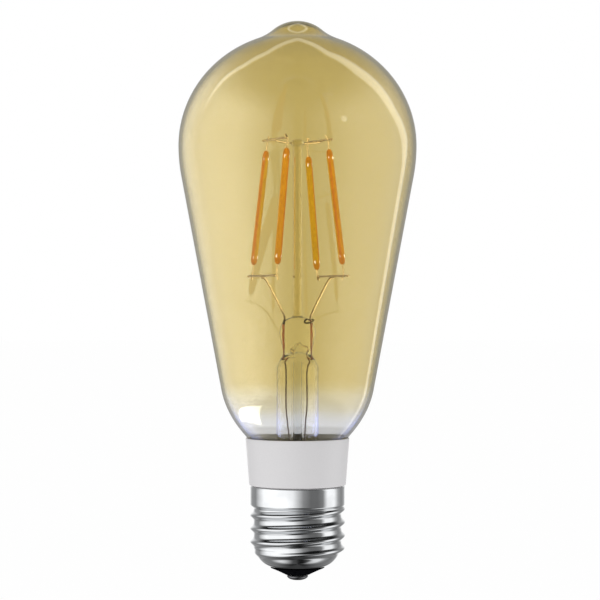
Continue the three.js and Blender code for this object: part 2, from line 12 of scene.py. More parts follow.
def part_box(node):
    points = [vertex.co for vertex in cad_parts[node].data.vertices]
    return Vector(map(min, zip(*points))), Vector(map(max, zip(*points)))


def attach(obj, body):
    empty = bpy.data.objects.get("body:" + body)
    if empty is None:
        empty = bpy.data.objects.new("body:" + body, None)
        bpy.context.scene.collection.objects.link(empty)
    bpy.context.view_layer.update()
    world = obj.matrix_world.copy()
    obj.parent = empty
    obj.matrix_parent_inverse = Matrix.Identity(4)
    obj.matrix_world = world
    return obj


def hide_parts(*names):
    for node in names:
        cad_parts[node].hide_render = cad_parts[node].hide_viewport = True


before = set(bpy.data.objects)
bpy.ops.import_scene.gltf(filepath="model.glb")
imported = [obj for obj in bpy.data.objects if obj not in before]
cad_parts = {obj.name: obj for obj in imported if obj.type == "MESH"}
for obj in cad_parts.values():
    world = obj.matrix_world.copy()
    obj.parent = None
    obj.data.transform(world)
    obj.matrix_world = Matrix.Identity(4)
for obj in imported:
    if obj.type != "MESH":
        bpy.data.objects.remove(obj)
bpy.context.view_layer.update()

# Builds the looks of an amber filament light bulb around its packed CAD model. The bulb stands
# upright on the Z axis, with the cap's centre contact at the origin. Lengths are in metres.

bl_info = {
    "name": "Amber Filament Bulb",
    "version": (1, 0, 0),
    "blender": (4, 5, 0),
    "location": "3D View > Sidebar > Bulb",
    "description": "Makes an amber glass filament bulb with an E27 cap, piece by piece",
    "category": "Add Mesh",
}

MM = 0.001
BODY = "root"
FULL_TURN = 2 * math.pi
QUARTER_TURN = math.pi / 2
WELD = 1e-7  # points nearer than this become one


def level(node):
    """Lowest and highest z of a CAD node."""
    low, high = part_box(node)
    return low.z, high.z


def half_width(node):
    """Half the size of a CAD node along X."""
    low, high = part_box(node)
    return (high.x - low.x) / 2


def middle(node):
    """Middle of a CAD node's box."""
    low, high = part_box(node)
    return (low + high) / 2


NECK_BOTTOM, GLASS_TOP = level("glass_envelope")
COLLAR_BOTTOM = level("screw_shell")[1] + 0.3 * MM
COLLAR_TOP = level("collar_housing")[1]
CAGE_TOP = middle("top_cross_wire_left").z
CAGE_BOTTOM = middle("bottom_cross_wire_left").z
PRESS_TOP = level("stem_flare")[1]


# ---------------------------------------------------------------- sizes and colours


class GlassSettings(PropertyGroup):
    """Sizes and tint of the blown glass bulb."""

    wall: FloatProperty(
        name="Wall", description="Thickness of the glass",
        default=0.8 * MM, min=0.2 * MM, unit="LENGTH",
    )
    widest: FloatProperty(
        name="Widest Radius", description="Radius at the widest place",
        default=half_width("glass_envelope"), min=10 * MM, unit="LENGTH",
    )
    tint: FloatVectorProperty(
        name="Amber Tint", description="Colour of the tinted part of the glass",
        subtype="COLOR", size=3, default=(0.75, 0.655, 0.36), min=0, max=1,
    )
    clear: FloatVectorProperty(
        name="Clear Glass", description="Colour of the glass where the tint has run out",
        subtype="COLOR", size=3, default=(0.84, 0.84, 0.835), min=0, max=1,
    )
    tint_start: FloatProperty(
        name="Tint Start", description="Height at which the tint begins to show",
        default=COLLAR_TOP + 4.5 * MM, unit="LENGTH",
    )
    tint_full: FloatProperty(
        name="Tint Full", description="Height above which the tint is full",
        default=COLLAR_TOP + 16.5 * MM, unit="LENGTH",
    )
    steps: IntProperty(
        name="Steps Round", description="Faces round the glass", default=160, min=24,
    )


class StemSettings(PropertyGroup):
    """Sizes of the clear glass stem."""

    tube_radius: FloatProperty(
        name="Tube Radius", description="Outer radius of the flare's tube",
        default=5.7 * MM, min=2 * MM, unit="LENGTH",
    )
    tube_wall: FloatProperty(
        name="Tube Wall", description="Thickness of the flare's tube",
        default=0.9 * MM, min=0.2 * MM, unit="LENGTH",
    )
    pillar_radius: FloatProperty(
        name="Pillar Radius", description="Radius of the glass rod up the middle",
        default=1.3 * MM, min=0.3 * MM, unit="LENGTH",
    )


class FilamentSettings(PropertyGroup):
    """Sizes and colours of the filaments and the wires that hold them."""

    radius: FloatProperty(
        name="Coating Radius", description="Radius of a filament's coating",
        default=0.925 * MM, min=0.2 * MM, unit="LENGTH",
    )
    length: FloatProperty(
        name="Coating Length", description="Length of a filament's coating",
        default=31.6 * MM, min=5 * MM, unit="LENGTH",
    )
    phosphor: FloatVectorProperty(
        name="Phosphor", description="Colour of the coating over the chips",
        subtype="COLOR", size=3, default=(0.86, 0.45, 0.02), min=0, max=1,
    )
    phosphor_edge: FloatVectorProperty(
        name="Phosphor Edge", description="Colour of the coating over the strip's edges",
        subtype="COLOR", size=3, default=(0.80, 0.33, 0.02), min=0, max=1,
    )
    phosphor_inner: FloatVectorProperty(
        name="Inner Phosphor", description="Colour of the coating on the side facing the axis",
        subtype="COLOR", size=3, default=(0.84, 0.60, 0.03), min=0, max=1,
    )
    wire: FloatProperty(
        name="Wire Diameter", description="Diameter of the cross wires",
        default=0.5 * MM, min=0.1 * MM, unit="LENGTH",
    )


class CollarSettings(PropertyGroup):
    """Colour of the plastic collar."""

    plastic: FloatVectorProperty(
        name="Plastic", description="Colour of the collar",
        subtype="COLOR", size=3, default=(0.72, 0.71, 0.72), min=0, max=1,
    )


class CapSettings(PropertyGroup):
    """Sizes and colour of the screw cap."""

    major: FloatProperty(
        name="Thread Major Radius", description="Radius over the thread's crests",
        default=13.025 * MM, min=5 * MM, unit="LENGTH",
    )
    minor: FloatProperty(
        name="Thread Minor Radius", description="Radius in the thread's roots",
        default=12.05 * MM, min=4 * MM, unit="LENGTH",
    )
    pitch: FloatProperty(
        name="Pitch", description="Height of one turn of the thread",
        default=3.629 * MM, min=1 * MM, unit="LENGTH",
    )
    plating: FloatVectorProperty(
        name="Plating", description="Colour of the plated shell",
        subtype="COLOR", size=3, default=(0.55, 0.56, 0.57), min=0, max=1,
    )


class StageSettings(PropertyGroup):
    """Camera and light."""

    distance: FloatProperty(
        name="Camera Distance", description="Camera to the bulb's axis",
        default=0.6, min=0.1, unit="LENGTH",
    )
    camera_height: FloatProperty(
        name="Camera Height", description="Height of the camera above the contact",
        default=76.4 * MM, unit="LENGTH",
    )
    view_width: FloatProperty(
        name="View Width", description="Width of what the camera sees at the axis",
        default=164.0 * MM, min=10 * MM, unit="LENGTH",
    )
    key_power: FloatProperty(
        name="Key Light", description="Power of the soft light at the left",
        default=0.85, min=0, subtype="POWER",
    )


# ---------------------------------------------------------------- mesh helpers


def spin_line(bm, line, steps, closed=False):
    """Spins a line of (radius, height) spots once round Z. A closed one ends where it starts."""
    verts = [bm.verts.new((radius, 0, z)) for radius, z in line]
    edges = [bm.edges.new(pair) for pair in zip(verts, verts[1:])]
    if closed:
        edges.append(bm.edges.new((verts[-1], verts[0])))
    bmesh.ops.spin(
        bm, geom=verts + edges, cent=(0, 0, 0), axis=(0, 0, 1),
        angle=FULL_TURN, steps=steps, use_merge=True,
    )


def lathe(line, steps):
    """A closed solid spun from a line that ends on the axis or meets its start."""
    bm = bmesh.new()
    spin_line(bm, line, steps, closed=line[0][0] > 0)
    close_up(bm)
    return bm


def lathe_tube(outside, bore, steps):
    """A tube closed at its lower end: its outside runs down to the axis and its bore back up."""
    bm = bmesh.new()
    for line in (outside, bore):
        spin_line(bm, line, steps)
    bmesh.ops.remove_doubles(bm, verts=bm.verts[:], dist=WELD)
    rim = [edge for edge in bm.edges if len(edge.link_faces) == 1]
    bmesh.ops.bridge_loops(bm, edges=rim)
    return bm


def close_up(bm):
    """Welds the seams and poles, and turns the faces outwards."""
    bmesh.ops.remove_doubles(bm, verts=bm.verts[:], dist=WELD)
    bmesh.ops.recalc_face_normals(bm, faces=bm.faces[:])


def curve_through(points, count):
    """A smooth line of count points a span through the given ones."""
    points = [Vector(p) for p in points]
    ends = [2 * points[0] - points[1], *points, 2 * points[-1] - points[-2]]
    line = []
    for a, b, c, d in zip(ends, ends[1:], ends[2:], ends[3:]):
        for i in range(count):
            t = i / count
            line.append(
                0.5 * (2 * b + (c - a) * t + (2 * a - 5 * b + 4 * c - d) * t**2
                       + (3 * b - a - 3 * c + d) * t**3)
            )
    return [*line, points[-1]]


def add_wire(bm, points, diameter, swell=0.0, seed=0, sides=12):
    """A round wire through the points. Swell is how unevenly thick it is, as a share."""
    rough = random.Random(seed)
    curve = bpy.data.curves.new("wire", "CURVE")
    curve.dimensions = "3D"
    curve.bevel_depth = diameter / 2
    curve.bevel_resolution = max(sides // 4 - 1, 1)
    curve.use_fill_caps = True
    spline = curve.splines.new("POLY")
    spline.points.add(len(points) - 1)
    for spot, place in zip(spline.points, points):
        spot.co = (*place, 1)
        spot.radius = 1 + swell * rough.uniform(-1, 1)
    holder = bpy.data.objects.new("wire", curve)
    bpy.context.scene.collection.objects.link(holder)
    bpy.context.view_layer.update()
    mesh = bpy.data.meshes.new_from_object(
        holder.evaluated_get(bpy.context.evaluated_depsgraph_get())
    )
    bm.from_mesh(mesh)
    bpy.data.objects.remove(holder)
    bpy.data.curves.remove(curve)
    bpy.data.meshes.remove(mesh)


def add_bead(bm, place, radii, detail=3, turn=None):
    """A round blob of metal or glass, with its own radius along each axis."""
    matrix = Matrix.Translation(place) @ (turn or Matrix.Identity(4)) @ Matrix.Diagonal((*radii, 1))
    bmesh.ops.create_icosphere(bm, subdivisions=detail, radius=1, matrix=matrix)


def add_piece(name, bm, material, replaced, sharp=35):
    """Puts the mesh in the scene as a piece that rides on the bulb."""
    close_up(bm)
    mesh = bpy.data.meshes.new(name)
    bm.to_mesh(mesh)
    bm.free()
    mesh.shade_smooth()
    if sharp:
        mesh.set_sharp_from_angle(angle=math.radians(sharp))
    mesh.materials.append(material)
    piece = bpy.data.objects.new(name, mesh)
    bpy.context.scene.collection.objects.link(piece)
    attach(piece, BODY)
    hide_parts(*replaced)
    return piece


def dress(node, material):
    """Gives a CAD node its finish."""
    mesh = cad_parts[node].data
    mesh.materials.clear()
    mesh.materials.append(material)


# ---------------------------------------------------------------- outline helpers


def quadratic(a, b, c, count):
    """Spots along a quadratic curve, without its first."""
    spots = []
    for i in range(1, count + 1):
        t = i / count
        spots.append(a * (1 - t) ** 2 + b * (2 * t * (1 - t)) + c * t**2)
    return spots


def cubic(a, b, c, d, count):
    """Spots along a cubic curve, without its first."""
    spots = []
    for i in range(1, count + 1):
        t = i / count
        s = 1 - t
        spots.append(a * s**3 + b * (3 * s * s * t) + c * (3 * s * t * t) + d * t**3)
    return spots


def straight(a, b, count):
    """Spots along a straight line, without its first."""
    return [a.lerp(b, i / count) for i in range(1, count + 1)]


def arc(centre, radii, start, end, count):
    """Spots along part of an ellipse, with both ends."""
    spots = []
    for i in range(count + 1):
        angle = start + (end - start) * i / count
        spots.append(centre + Vector((radii[0] * math.cos(angle), radii[1] * math.sin(angle))))
    return spots


def meeting(p, u, q, v):
    """Where the line through p along u meets the line through q along v."""
    across = u.x * v.y - u.y * v.x
    gap = q - p
    return p + u * ((gap.x * v.y - gap.y * v.x) / across)


def moved_inward(line, distance):
    """The line moved square to itself, towards the axis where it runs downwards."""
    moved = []
    for i, here in enumerate(line):
        along = (line[min(i + 1, len(line) - 1)] - line[max(i - 1, 0)]).normalized()
        on_axis = here.x < 1e-9
        radius = 0.0 if on_axis else here.x + along.y * distance
        drop = distance if on_axis else along.x * distance
        moved.append(Vector((max(radius, 0.0), here.y - drop)))
    return moved


def smooth(low, high, value):
    """Goes smoothly from 0 at low to 1 at high."""
    t = min(max((value - low) / (high - low), 0), 1)
    return t * t * (3 - 2 * t)


def glass_outline(settings):
    """Outside of the glass, from the tip down to the neck's lower edge."""
    widest = settings.widest
    dome_height = 31 * MM
    tip_radius = 10.5 * MM
    tip_angle = math.radians(40)
    fillet_radius = 11.5 * MM
    widest_z = GLASS_TOP - 3.1 * MM - dome_height
    tip_centre = Vector((0, GLASS_TOP - tip_radius))
    line = arc(tip_centre, (tip_radius, tip_radius), QUARTER_TURN, QUARTER_TURN - tip_angle, 14)
    line[0].x = 0
    tip_along = Vector((math.cos(tip_angle), -math.sin(tip_angle)))
    dome_start = math.acos(fillet_radius / widest)
    dome_spot = Vector((fillet_radius, widest_z + dome_height * math.sin(dome_start)))
    dome_along = Vector((widest * math.sin(dome_start), -dome_height * math.cos(dome_start)))
    fillet = meeting(line[-1], tip_along, dome_spot, dome_along)
    line += quadratic(line[-1], fillet, dome_spot, 10)
    line += arc(Vector((0, widest_z)), (widest, dome_height), dome_start, 0, 44)[1:]

    throat = Vector((14.4 * MM, COLLAR_TOP + 0.8 * MM))
    knee = Vector((widest, widest_z - 4.2 * MM))
    shoulder = throat + Vector((5.2 * MM, 5.9 * MM))
    taper = (shoulder - knee).normalized()
    taper_top = knee + taper * 4.2 * MM
    taper_end = shoulder - taper * 6.6 * MM
    line += quadratic(line[-1], knee, taper_top, 10)
    line += straight(taper_top, taper_end, 24)
    line += quadratic(taper_end, shoulder, throat, 14)
    inward = (throat - shoulder).normalized()
    pinch = throat + inward * 2.3 * MM
    neck_radius = 11.6 * MM
    neck_top = Vector((neck_radius, NECK_BOTTOM + 3.3 * MM))
    line += cubic(throat, pinch, Vector((neck_radius, pinch.y - 1.3 * MM)), neck_top, 12)
    line += straight(neck_top, Vector((neck_radius, NECK_BOTTOM)), 2)
    return line


# ---------------------------------------------------------------- material helpers


def link(tree, source, target):
    """Joins an output to an input."""
    tree.links.new(source, target)


def feed(tree, value, socket):
    """Gives a socket its value: another socket, or a number or colour of its own."""
    if isinstance(value, bpy.types.NodeSocket):
        link(tree, value, socket)
    else:
        socket.default_value = value


def node(tree, kind, **values):
    """A new node. Values that name an input set it, and the rest are the node's own settings."""
    made = tree.nodes.new(kind)
    for name, value in values.items():
        label = name.replace("_", " ").title()
        if label in made.inputs:
            made.inputs[label].default_value = value
        else:
            setattr(made, name, value)
    return made


def shader(name, roughness, metallic=0.0, **inputs):
    """A new material with its Principled shader, and what its patterns are read at."""
    material = bpy.data.materials.new(name)
    material.use_nodes = True
    tree = material.node_tree
    principled = tree.nodes["Principled BSDF"]
    principled.inputs["Roughness"].default_value = roughness
    principled.inputs["Metallic"].default_value = metallic
    for label, value in inputs.items():
        principled.inputs[label.replace("_", " ")].default_value = value
    place = node(tree, "ShaderNodeTexCoord").outputs["Object"]
    return material, tree, principled, place


def noise(tree, place, scale, stretch=(1, 1, 1), detail=3.0):
    """Noise read at place, stretched along each axis by the inverse of stretch."""
    mapping = node(tree, "ShaderNodeMapping")
    mapping.inputs["Scale"].default_value = stretch
    link(tree, place, mapping.inputs["Vector"])
    texture = node(tree, "ShaderNodeTexNoise", scale=scale, detail=detail)
    link(tree, mapping.outputs["Vector"], texture.inputs["Vector"])
    return texture.outputs["Fac"]


def ramp(tree, factor, stops, interpolation="EASE"):
    """Colours along factor, from (position, colour) stops."""
    made = node(tree, "ShaderNodeValToRGB")
    bar = made.color_ramp
    bar.interpolation = interpolation
    while len(bar.elements) < len(stops):
        bar.elements.new(1)
    for element, (position, colour) in zip(bar.elements, stops):
        element.position = position
        element.color = (*colour, 1)
    link(tree, factor, made.inputs["Fac"])
    return made.outputs["Color"]


def remap(tree, value, low, high, new_low, new_high, kind="LINEAR"):
    """Value moved from one range to another."""
    made = node(tree, "ShaderNodeMapRange", interpolation_type=kind)
    for label, number in zip(("From Min", "From Max", "To Min", "To Max"),
                             (low, high, new_low, new_high)):
        made.inputs[label].default_value = number
    link(tree, value, made.inputs["Value"])
    return made.outputs["Result"]


def arithmetic(tree, operation, first, second):
    """One sum of two values, each a number or a socket."""
    made = node(tree, "ShaderNodeMath", operation=operation)
    for socket, value in zip(made.inputs, (first, second)):
        feed(tree, value, socket)
    return made.outputs[0]


def mix(tree, share, first, second, kind="RGBA", blend="MIX"):
    """From the first colour or number to the second, as share goes from 0 to 1."""
    made = node(tree, "ShaderNodeMix", data_type=kind, blend_type=blend)
    for label, value in (("Factor", share), ("A", first), ("B", second)):
        feed(tree, value, made.inputs[label])
    return made.outputs["Result"]


def axes(tree, vector):
    """A vector's X, Y and Z."""
    split = node(tree, "ShaderNodeSeparateXYZ")
    link(tree, vector, split.inputs["Vector"])
    return [split.outputs[axis] for axis in "XYZ"]


def painted(tree, name):
    """A number stored on the mesh's points."""
    return node(tree, "ShaderNodeAttribute", attribute_name=name).outputs["Fac"]


def bump(tree, height, principled, strength, distance):
    """Raises the surface by height."""
    made = node(tree, "ShaderNodeBump", strength=strength, distance=distance)
    link(tree, height, made.inputs["Height"])
    link(tree, made.outputs["Normal"], principled.inputs["Normal"])


def shade(colour, share):
    """The colour made darker or lighter by a share."""
    return tuple(min(max(c * share, 0), 1) for c in colour)


def mottled(name, colour, roughness, metallic=0.0, scale=600.0, stretch=(1, 1, 1),
            contrast=0.08, relief=0.1, depth=0.05 * MM, roughness_spread=0.05, **inputs):
    """A finish with small changes of colour, gloss and height over it."""
    material, tree, principled, place = shader(name, roughness, metallic, **inputs)
    grain = noise(tree, place, scale, stretch, 4.0)
    stops = ((0.3, shade(colour, 1 - contrast)), (0.7, shade(colour, 1 + contrast)))
    link(tree, ramp(tree, grain, stops), principled.inputs["Base Color"])
    low, high = max(roughness - roughness_spread, 0), min(roughness + roughness_spread, 1)
    link(tree, remap(tree, grain, 0.3, 0.7, low, high), principled.inputs["Roughness"])
    if relief:
        bump(tree, grain, principled, relief, depth)
    return material


# ---------------------------------------------------------------- materials


def amber_glass(settings):
    """Thin amber glass whose tint runs out above the collar, darkened by painted shade where it
    goes into the collar.
    """
    material, tree, principled, place = shader("amber_glass", 0.0, Transmission_Weight=1.0, IOR=1.5)
    z = axes(tree, place)[2]
    waver = remap(tree, noise(tree, place, 55.0, detail=2.0), 0.3, 0.7, -0.6 * MM, 0.6 * MM)
    height = arithmetic(tree, "ADD", z, waver)
    share = remap(tree, height, settings.tint_start, settings.tint_full, 0, 1)
    half = tuple((a + b) / 2 for a, b in zip(settings.clear, settings.tint))
    tinted = ramp(tree, share, ((0, settings.clear), (0.4, half), (1, settings.tint)))
    # painted shade: the glass's colour is darkened from a little above the collar's top downwards,
    # a painted shade line where the glass meets the collar
    collar_shade_share = remap(tree, z, COLLAR_TOP + 1.5 * MM, COLLAR_TOP + 2.5 * MM, 0, 1, "SMOOTHSTEP")
    neck = ramp(tree, collar_shade_share, ((0, (0.76, 0.76, 0.76)), (1, (1, 1, 1))))
    base = mix(tree, 1, tinted, neck, blend="MULTIPLY")
    link(tree, base, principled.inputs["Base Color"])
    glint = ramp(tree, share, ((0, (1, 0.92, 0.62)), (1, (1, 1, 1))))
    link(tree, glint, principled.inputs["Specular Tint"])
    return material


def clear_glass(name, colour, ior):
    """Clear glass with faint cords, deeper in colour where it is seen square on and paler towards
    its outline, which is painted light for the light the glass bends in from its sides.
    """
    material, tree, principled, place = shader(name, 0.0, Transmission_Weight=1.0, IOR=ior)
    principled.inputs["Specular Tint"].default_value = (1, 0.86, 0.42, 1)
    cords = noise(tree, place, 120.0, (1, 1, 0.1))
    streaked = ramp(tree, cords, ((0.3, shade(colour, 0.98)), (0.7, shade(colour, 1.02))))
    # painted light: the colour pales to white towards the outline, standing in for bright light
    # bent in at the glass's edges
    facing = node(tree, "ShaderNodeLayerWeight").outputs["Facing"]
    edge = remap(tree, facing, 0.1, 0.75, 0, 1, "SMOOTHSTEP")
    link(tree, mix(tree, edge, streaked, (1, 1, 0.99, 1)), principled.inputs["Base Color"])
    return material


def phosphor_silicone(settings):
    """Orange silicone, deeper in colour over the strip's edges and towards its ends."""
    material, tree, principled, place = shader("phosphor_silicone", 0.5, Specular_IOR_Level=0.12)
    over_strip = ramp(tree, painted(tree, "strip_edge"), (
        (0.0, settings.phosphor), (0.78, settings.phosphor), (0.95, settings.phosphor_edge),
    ))
    inward = remap(tree, painted(tree, "inner_side"), 0.5, 0.9, 0, 0.8, "SMOOTHSTEP")
    coat = mix(tree, inward, over_strip, (*settings.phosphor_inner, 1))
    grain = noise(tree, place, 900.0)
    speckle = ramp(tree, grain, ((0.3, (0.86, 0.82, 0.8)), (0.7, (1, 1, 1))))
    coat = mix(tree, 1, coat, speckle, blend="MULTIPLY")
    tip = (*shade(settings.phosphor_edge, 0.85), 1)
    coat = mix(tree, painted(tree, "end_share"), coat, tip)
    link(tree, coat, principled.inputs["Base Color"])
    bump(tree, grain, principled, 0.15, 0.04 * MM)
    return material


def plated_brass(settings):
    """Bright plating with fine lines round it from the forming rolls."""
    material, tree, principled, place = shader("plated_brass", 0.2, 1.0)
    lines = noise(tree, place, 1.0, (60, 60, 5200), 3.0)
    patches = noise(tree, place, 140.0, (1, 1, 2), 2.0)
    stops = ((0.3, shade(settings.plating, 0.93)), (0.7, shade(settings.plating, 1.07)))
    link(tree, ramp(tree, patches, stops), principled.inputs["Base Color"])
    link(tree, remap(tree, lines, 0.3, 0.7, 0.05, 0.11), principled.inputs["Roughness"])
    bump(tree, lines, principled, 0.12, 0.02 * MM)
    return material


def wire_metal(name, colour, burnt, burnt_low, burnt_high):
    """Drawn wire that darkens between two heights, where it was heated."""
    material, tree, principled, place = shader(name, 0.35, 1.0)
    share = remap(tree, axes(tree, place)[2], burnt_low, burnt_high, 0, 1)
    grain = noise(tree, place, 1500.0)
    drawn = ramp(tree, share, ((0, burnt), (1, colour)))
    pitted = ramp(tree, grain, ((0.3, (0.6, 0.6, 0.6)), (0.7, (1, 1, 1))))
    base = mix(tree, 1, drawn, pitted, blend="MULTIPLY")
    link(tree, base, principled.inputs["Base Color"])
    bump(tree, grain, principled, 0.4, 0.05 * MM)
    return material


# ---------------------------------------------------------------- glass


class BULB_OT_glass(Operator):
    """Make the blown glass bulb, with its real wall"""

    bl_idname = "bulb.glass"
    bl_label = "Glass Bulb"

    def execute(self, context):
        settings = context.scene.bulb_glass
        outside = glass_outline(settings)
        inside = list(reversed(moved_inward(outside, settings.wall)))
        inside[0].y = NECK_BOTTOM
        bm = lathe(outside + inside, settings.steps)
        add_piece("amber_bulb", bm, amber_glass(settings), ["glass_envelope"])
        return {"FINISHED"}


def stem_outline(settings):
    """Tube of the stem: up its outside from the rim, over its closed top and down its inside."""
    outer, wall = settings.tube_radius, settings.tube_wall
    inner = outer - wall
    rim = 10.5 * MM
    flare_top = NECK_BOTTOM + 7.5 * MM
    waist = NECK_BOTTOM + 2.25 * MM

    def flare(radius, edge):
        """From the edge of the rim in to a tube's radius, and up it."""
        start = Vector((edge, NECK_BOTTOM))
        return [start] + cubic(
            start, Vector((edge * 0.75, NECK_BOTTOM)), Vector((radius, waist)),
            Vector((radius, flare_top)), 10,
        )

    def spots(rows):
        """Places from a radius and a height under the press's top, in millimetres."""
        return [Vector((radius * MM, PRESS_TOP + z * MM)) for radius, z in rows]

    body = spots(((5.0, -11.9), (4.1, -10.4), (3.95, -9.2), (4.35, -7.2), (4.9, -5.0), (4.95, -3.6),
                  (4.6, -2.1), (3.8, -0.95), (2.6, -0.2), (1.3, 0.15), (0, 0.2)))
    outside = flare(outer, rim) + curve_through([Vector((outer, PRESS_TOP - 13.4 * MM)), *body], 6)
    outside[-1].x = 0
    void = spots(((4.3, -12.7), (3.1, -11.5), (2.1, -10.6), (1.95, -9.9), (2.2, -9.2), (1.9, -8.2),
                  (1.2, -7.3), (0.5, -6.6), (0, -6.2)))
    inside = flare(inner, rim - wall)
    inside += curve_through([Vector((inner, PRESS_TOP - 13.9 * MM)), *void], 5)
    inside[-1].x = 0
    return outside[::-1] + inside


def press(vert):
    """Flattens the top of the stem where the hot glass was pressed, and leaves the void uneven."""
    above = vert.co.z - PRESS_TOP
    pressed = smooth(-13.2 * MM, -8.0 * MM, above)
    radius = math.hypot(vert.co.x, vert.co.y)
    vert.co.y *= 1 - 0.5 * pressed
    near_axis = 1 - smooth(2.2 * MM, 3.0 * MM, radius)
    inner = pressed * near_axis * (1 - smooth(-5.5 * MM, -4.5 * MM, above))
    if inner > 0:
        lump = noise_3d.noise_vector(vert.co / (1.6 * MM))
        vert.co += inner * (lump * 0.75 * MM + Vector((0.45 * MM, 0, 0)))


class BULB_OT_stem(Operator):
    """Make the clear glass stem: flare, press, exhaust tube, pillar and bead"""

    bl_idname = "bulb.stem"
    bl_label = "Glass Stem"

    def execute(self, context):
        settings = context.scene.bulb_stem
        glass = clear_glass("stem_glass", (0.98, 0.98, 0.97), 1.3)
        bm = lathe(stem_outline(settings), 96)
        for vert in bm.verts:
            press(vert)
        add_piece("stem_body", bm, glass, ["stem_flare"], 60)

        low, high = level("exhaust_tube")
        outer, inner = 1.7 * MM, 1.0 * MM
        high += 0.2 * MM
        profile = [
            (outer, high), (outer, low + 3.4 * MM), (outer * 0.9, low + 2.2 * MM),
            (outer * 0.6, low + 1.1 * MM), (outer * 0.3, low + 0.3 * MM), (0, low),
        ]
        bore = [
            (0, low + 1.7 * MM), (inner * 0.5, low + 2.1 * MM), (inner * 0.85, low + 3 * MM),
            (inner, low + 4.1 * MM), (inner, high),
        ]
        bm = lathe_tube(profile, bore, 48)
        add_piece("exhaust_pipe", bm, glass, ["exhaust_tube"], 40)

        radius = settings.pillar_radius
        low, high = level("centre_pillar")
        bead_middle = high - 1.1 * MM
        bead = arc(Vector((0, bead_middle)), (1.9 * MM, 1.1 * MM), QUARTER_TURN, -0.82, 16)
        bead[0].x = 0
        neck = bead[-1]
        shaft_top = Vector((radius, neck.y - 0.9 * MM))
        line = bead + quadratic(neck, Vector((radius, neck.y - 0.2 * MM)), shaft_top, 5)
        foot = Vector((radius, low + 0.6 * MM))
        line += straight(shaft_top, foot, 6)
        sunk = low - 0.3 * MM
        line += quadratic(foot, Vector((radius, sunk)), Vector((2.0 * MM, sunk)), 5)
        line += [Vector((0, sunk))]
        bm = lathe(line, 48)
        # painted light: the rod is clear glass, and its amber colour stands in for the amber light
        # it gathers through the bulb's wall
        rod = clear_glass("rod_glass", (0.82, 0.76, 0.55), 1.45)
        add_piece("glass_pillar", bm, rod, ["centre_pillar"], 40)
        return {"FINISHED"}


# ---------------------------------------------------------------- filaments


CAGE_TOP_RADIUS = 8.65 * MM
CAGE_BOTTOM_RADIUS = 13.7 * MM
CAGE_TOP_TURN = math.radians(-18)
CAGE_BOTTOM_TURN = math.radians(-24)
TIE_STANDOFF = 1.1 * MM  # cross wires beyond the filament axes
FILAMENT_DROP = 2.8 * MM
BACK_DROP = 1.2 * MM
TAB_TOP = 4.0 * MM
TAB_BOTTOM = 4.2 * MM
SIDES = {"right": 0, "back": 1, "left": 2, "front": 3}


def around(radius, angle, z):
    """A place at a height, from its distance and angle about the axis."""
    return Vector((radius * math.cos(angle), radius * math.sin(angle), z))


def filament_place(quarter, length, lower):
    """Where a filament stands: its origin is the coating's lower end, and Z runs up it."""
    top = around(CAGE_TOP_RADIUS, CAGE_TOP_TURN + quarter * QUARTER_TURN, CAGE_TOP)
    bottom = around(CAGE_BOTTOM_RADIUS, CAGE_BOTTOM_TURN + quarter * QUARTER_TURN, CAGE_BOTTOM)
    upward = (top - bottom).normalized()
    outward = Vector((top.x + bottom.x, top.y + bottom.y, 0))
    sideways = upward.cross(outward).normalized()
    facing = sideways.cross(upward)
    turn = Matrix((sideways, facing, upward)).transposed().to_4x4()
    return Matrix.Translation(top - upward * (FILAMENT_DROP + lower + length)) @ turn


def make_coating(side, settings, place, material):
    """The silicone over the strip, a rod with round ends that carries its own pattern."""
    radius, length = settings.radius, settings.length
    tip = 1.9 * MM
    end = arc(Vector((0.3 * MM, tip)), (radius - 0.3 * MM, tip), -QUARTER_TURN, 0, 8)
    line = [Vector((0, 0)), *end]
    line += straight(line[-1], Vector((radius, length - tip)), 40)
    line += [Vector((spot.x, length - spot.y)) for spot in reversed(end[:-1])]
    line.append(Vector((0, length)))
    bm = lathe(line, 32)
    edge = bm.verts.layers.float.new("strip_edge")
    ends = bm.verts.layers.float.new("end_share")
    inner = bm.verts.layers.float.new("inner_side")
    for vert in bm.verts:
        vert[edge] = abs(vert.co.x) / max(math.hypot(vert.co.x, vert.co.y), 1e-9)
        vert[inner] = 0.5 - 0.5 * vert.co.y / radius
        from_end = min(vert.co.z, length - vert.co.z)
        vert[ends] = 0.75 * (1 - smooth(1.0 * MM, 3.2 * MM, from_end))
        vert.co.y *= 0.94
    bmesh.ops.transform(bm, matrix=place, verts=bm.verts[:])
    add_piece(f"{side}_filament", bm, material,
              [f"filament_{side}_coating", f"filament_{side}_strip"], 0)


def make_pads(side, settings, place, rough, material):
    """Small bright pads where the strip meets its tabs, showing at the coating's surface."""
    bm = bmesh.new()
    for z in (2.2 * MM, settings.length - 2.3 * MM):
        for facing in (-1, 1):
            across = rough.uniform(-0.12, 0.12) * MM
            spot = Vector((across, facing * settings.radius * 0.90, z))
            add_bead(bm, spot, (0.16 * MM, 0.09 * MM, 0.62 * MM), 2)
            spot.z += rough.uniform(-0.3, 0.3) * MM
            spot.x += rough.choice((-0.28, 0.28)) * MM
            add_bead(bm, spot, (0.1 * MM, 0.07 * MM, 0.3 * MM), 2)
        for across in (-1, 1):
            spot = Vector((across * settings.radius * 0.955, rough.uniform(-0.1, 0.1) * MM, z))
            add_bead(bm, spot, (0.07 * MM, 0.13 * MM, 0.45 * MM), 2)
    bmesh.ops.transform(bm, matrix=place, verts=bm.verts[:])
    add_piece(f"{side}_filament_pads", bm, material, [f"filament_{side}_strip"], 0)


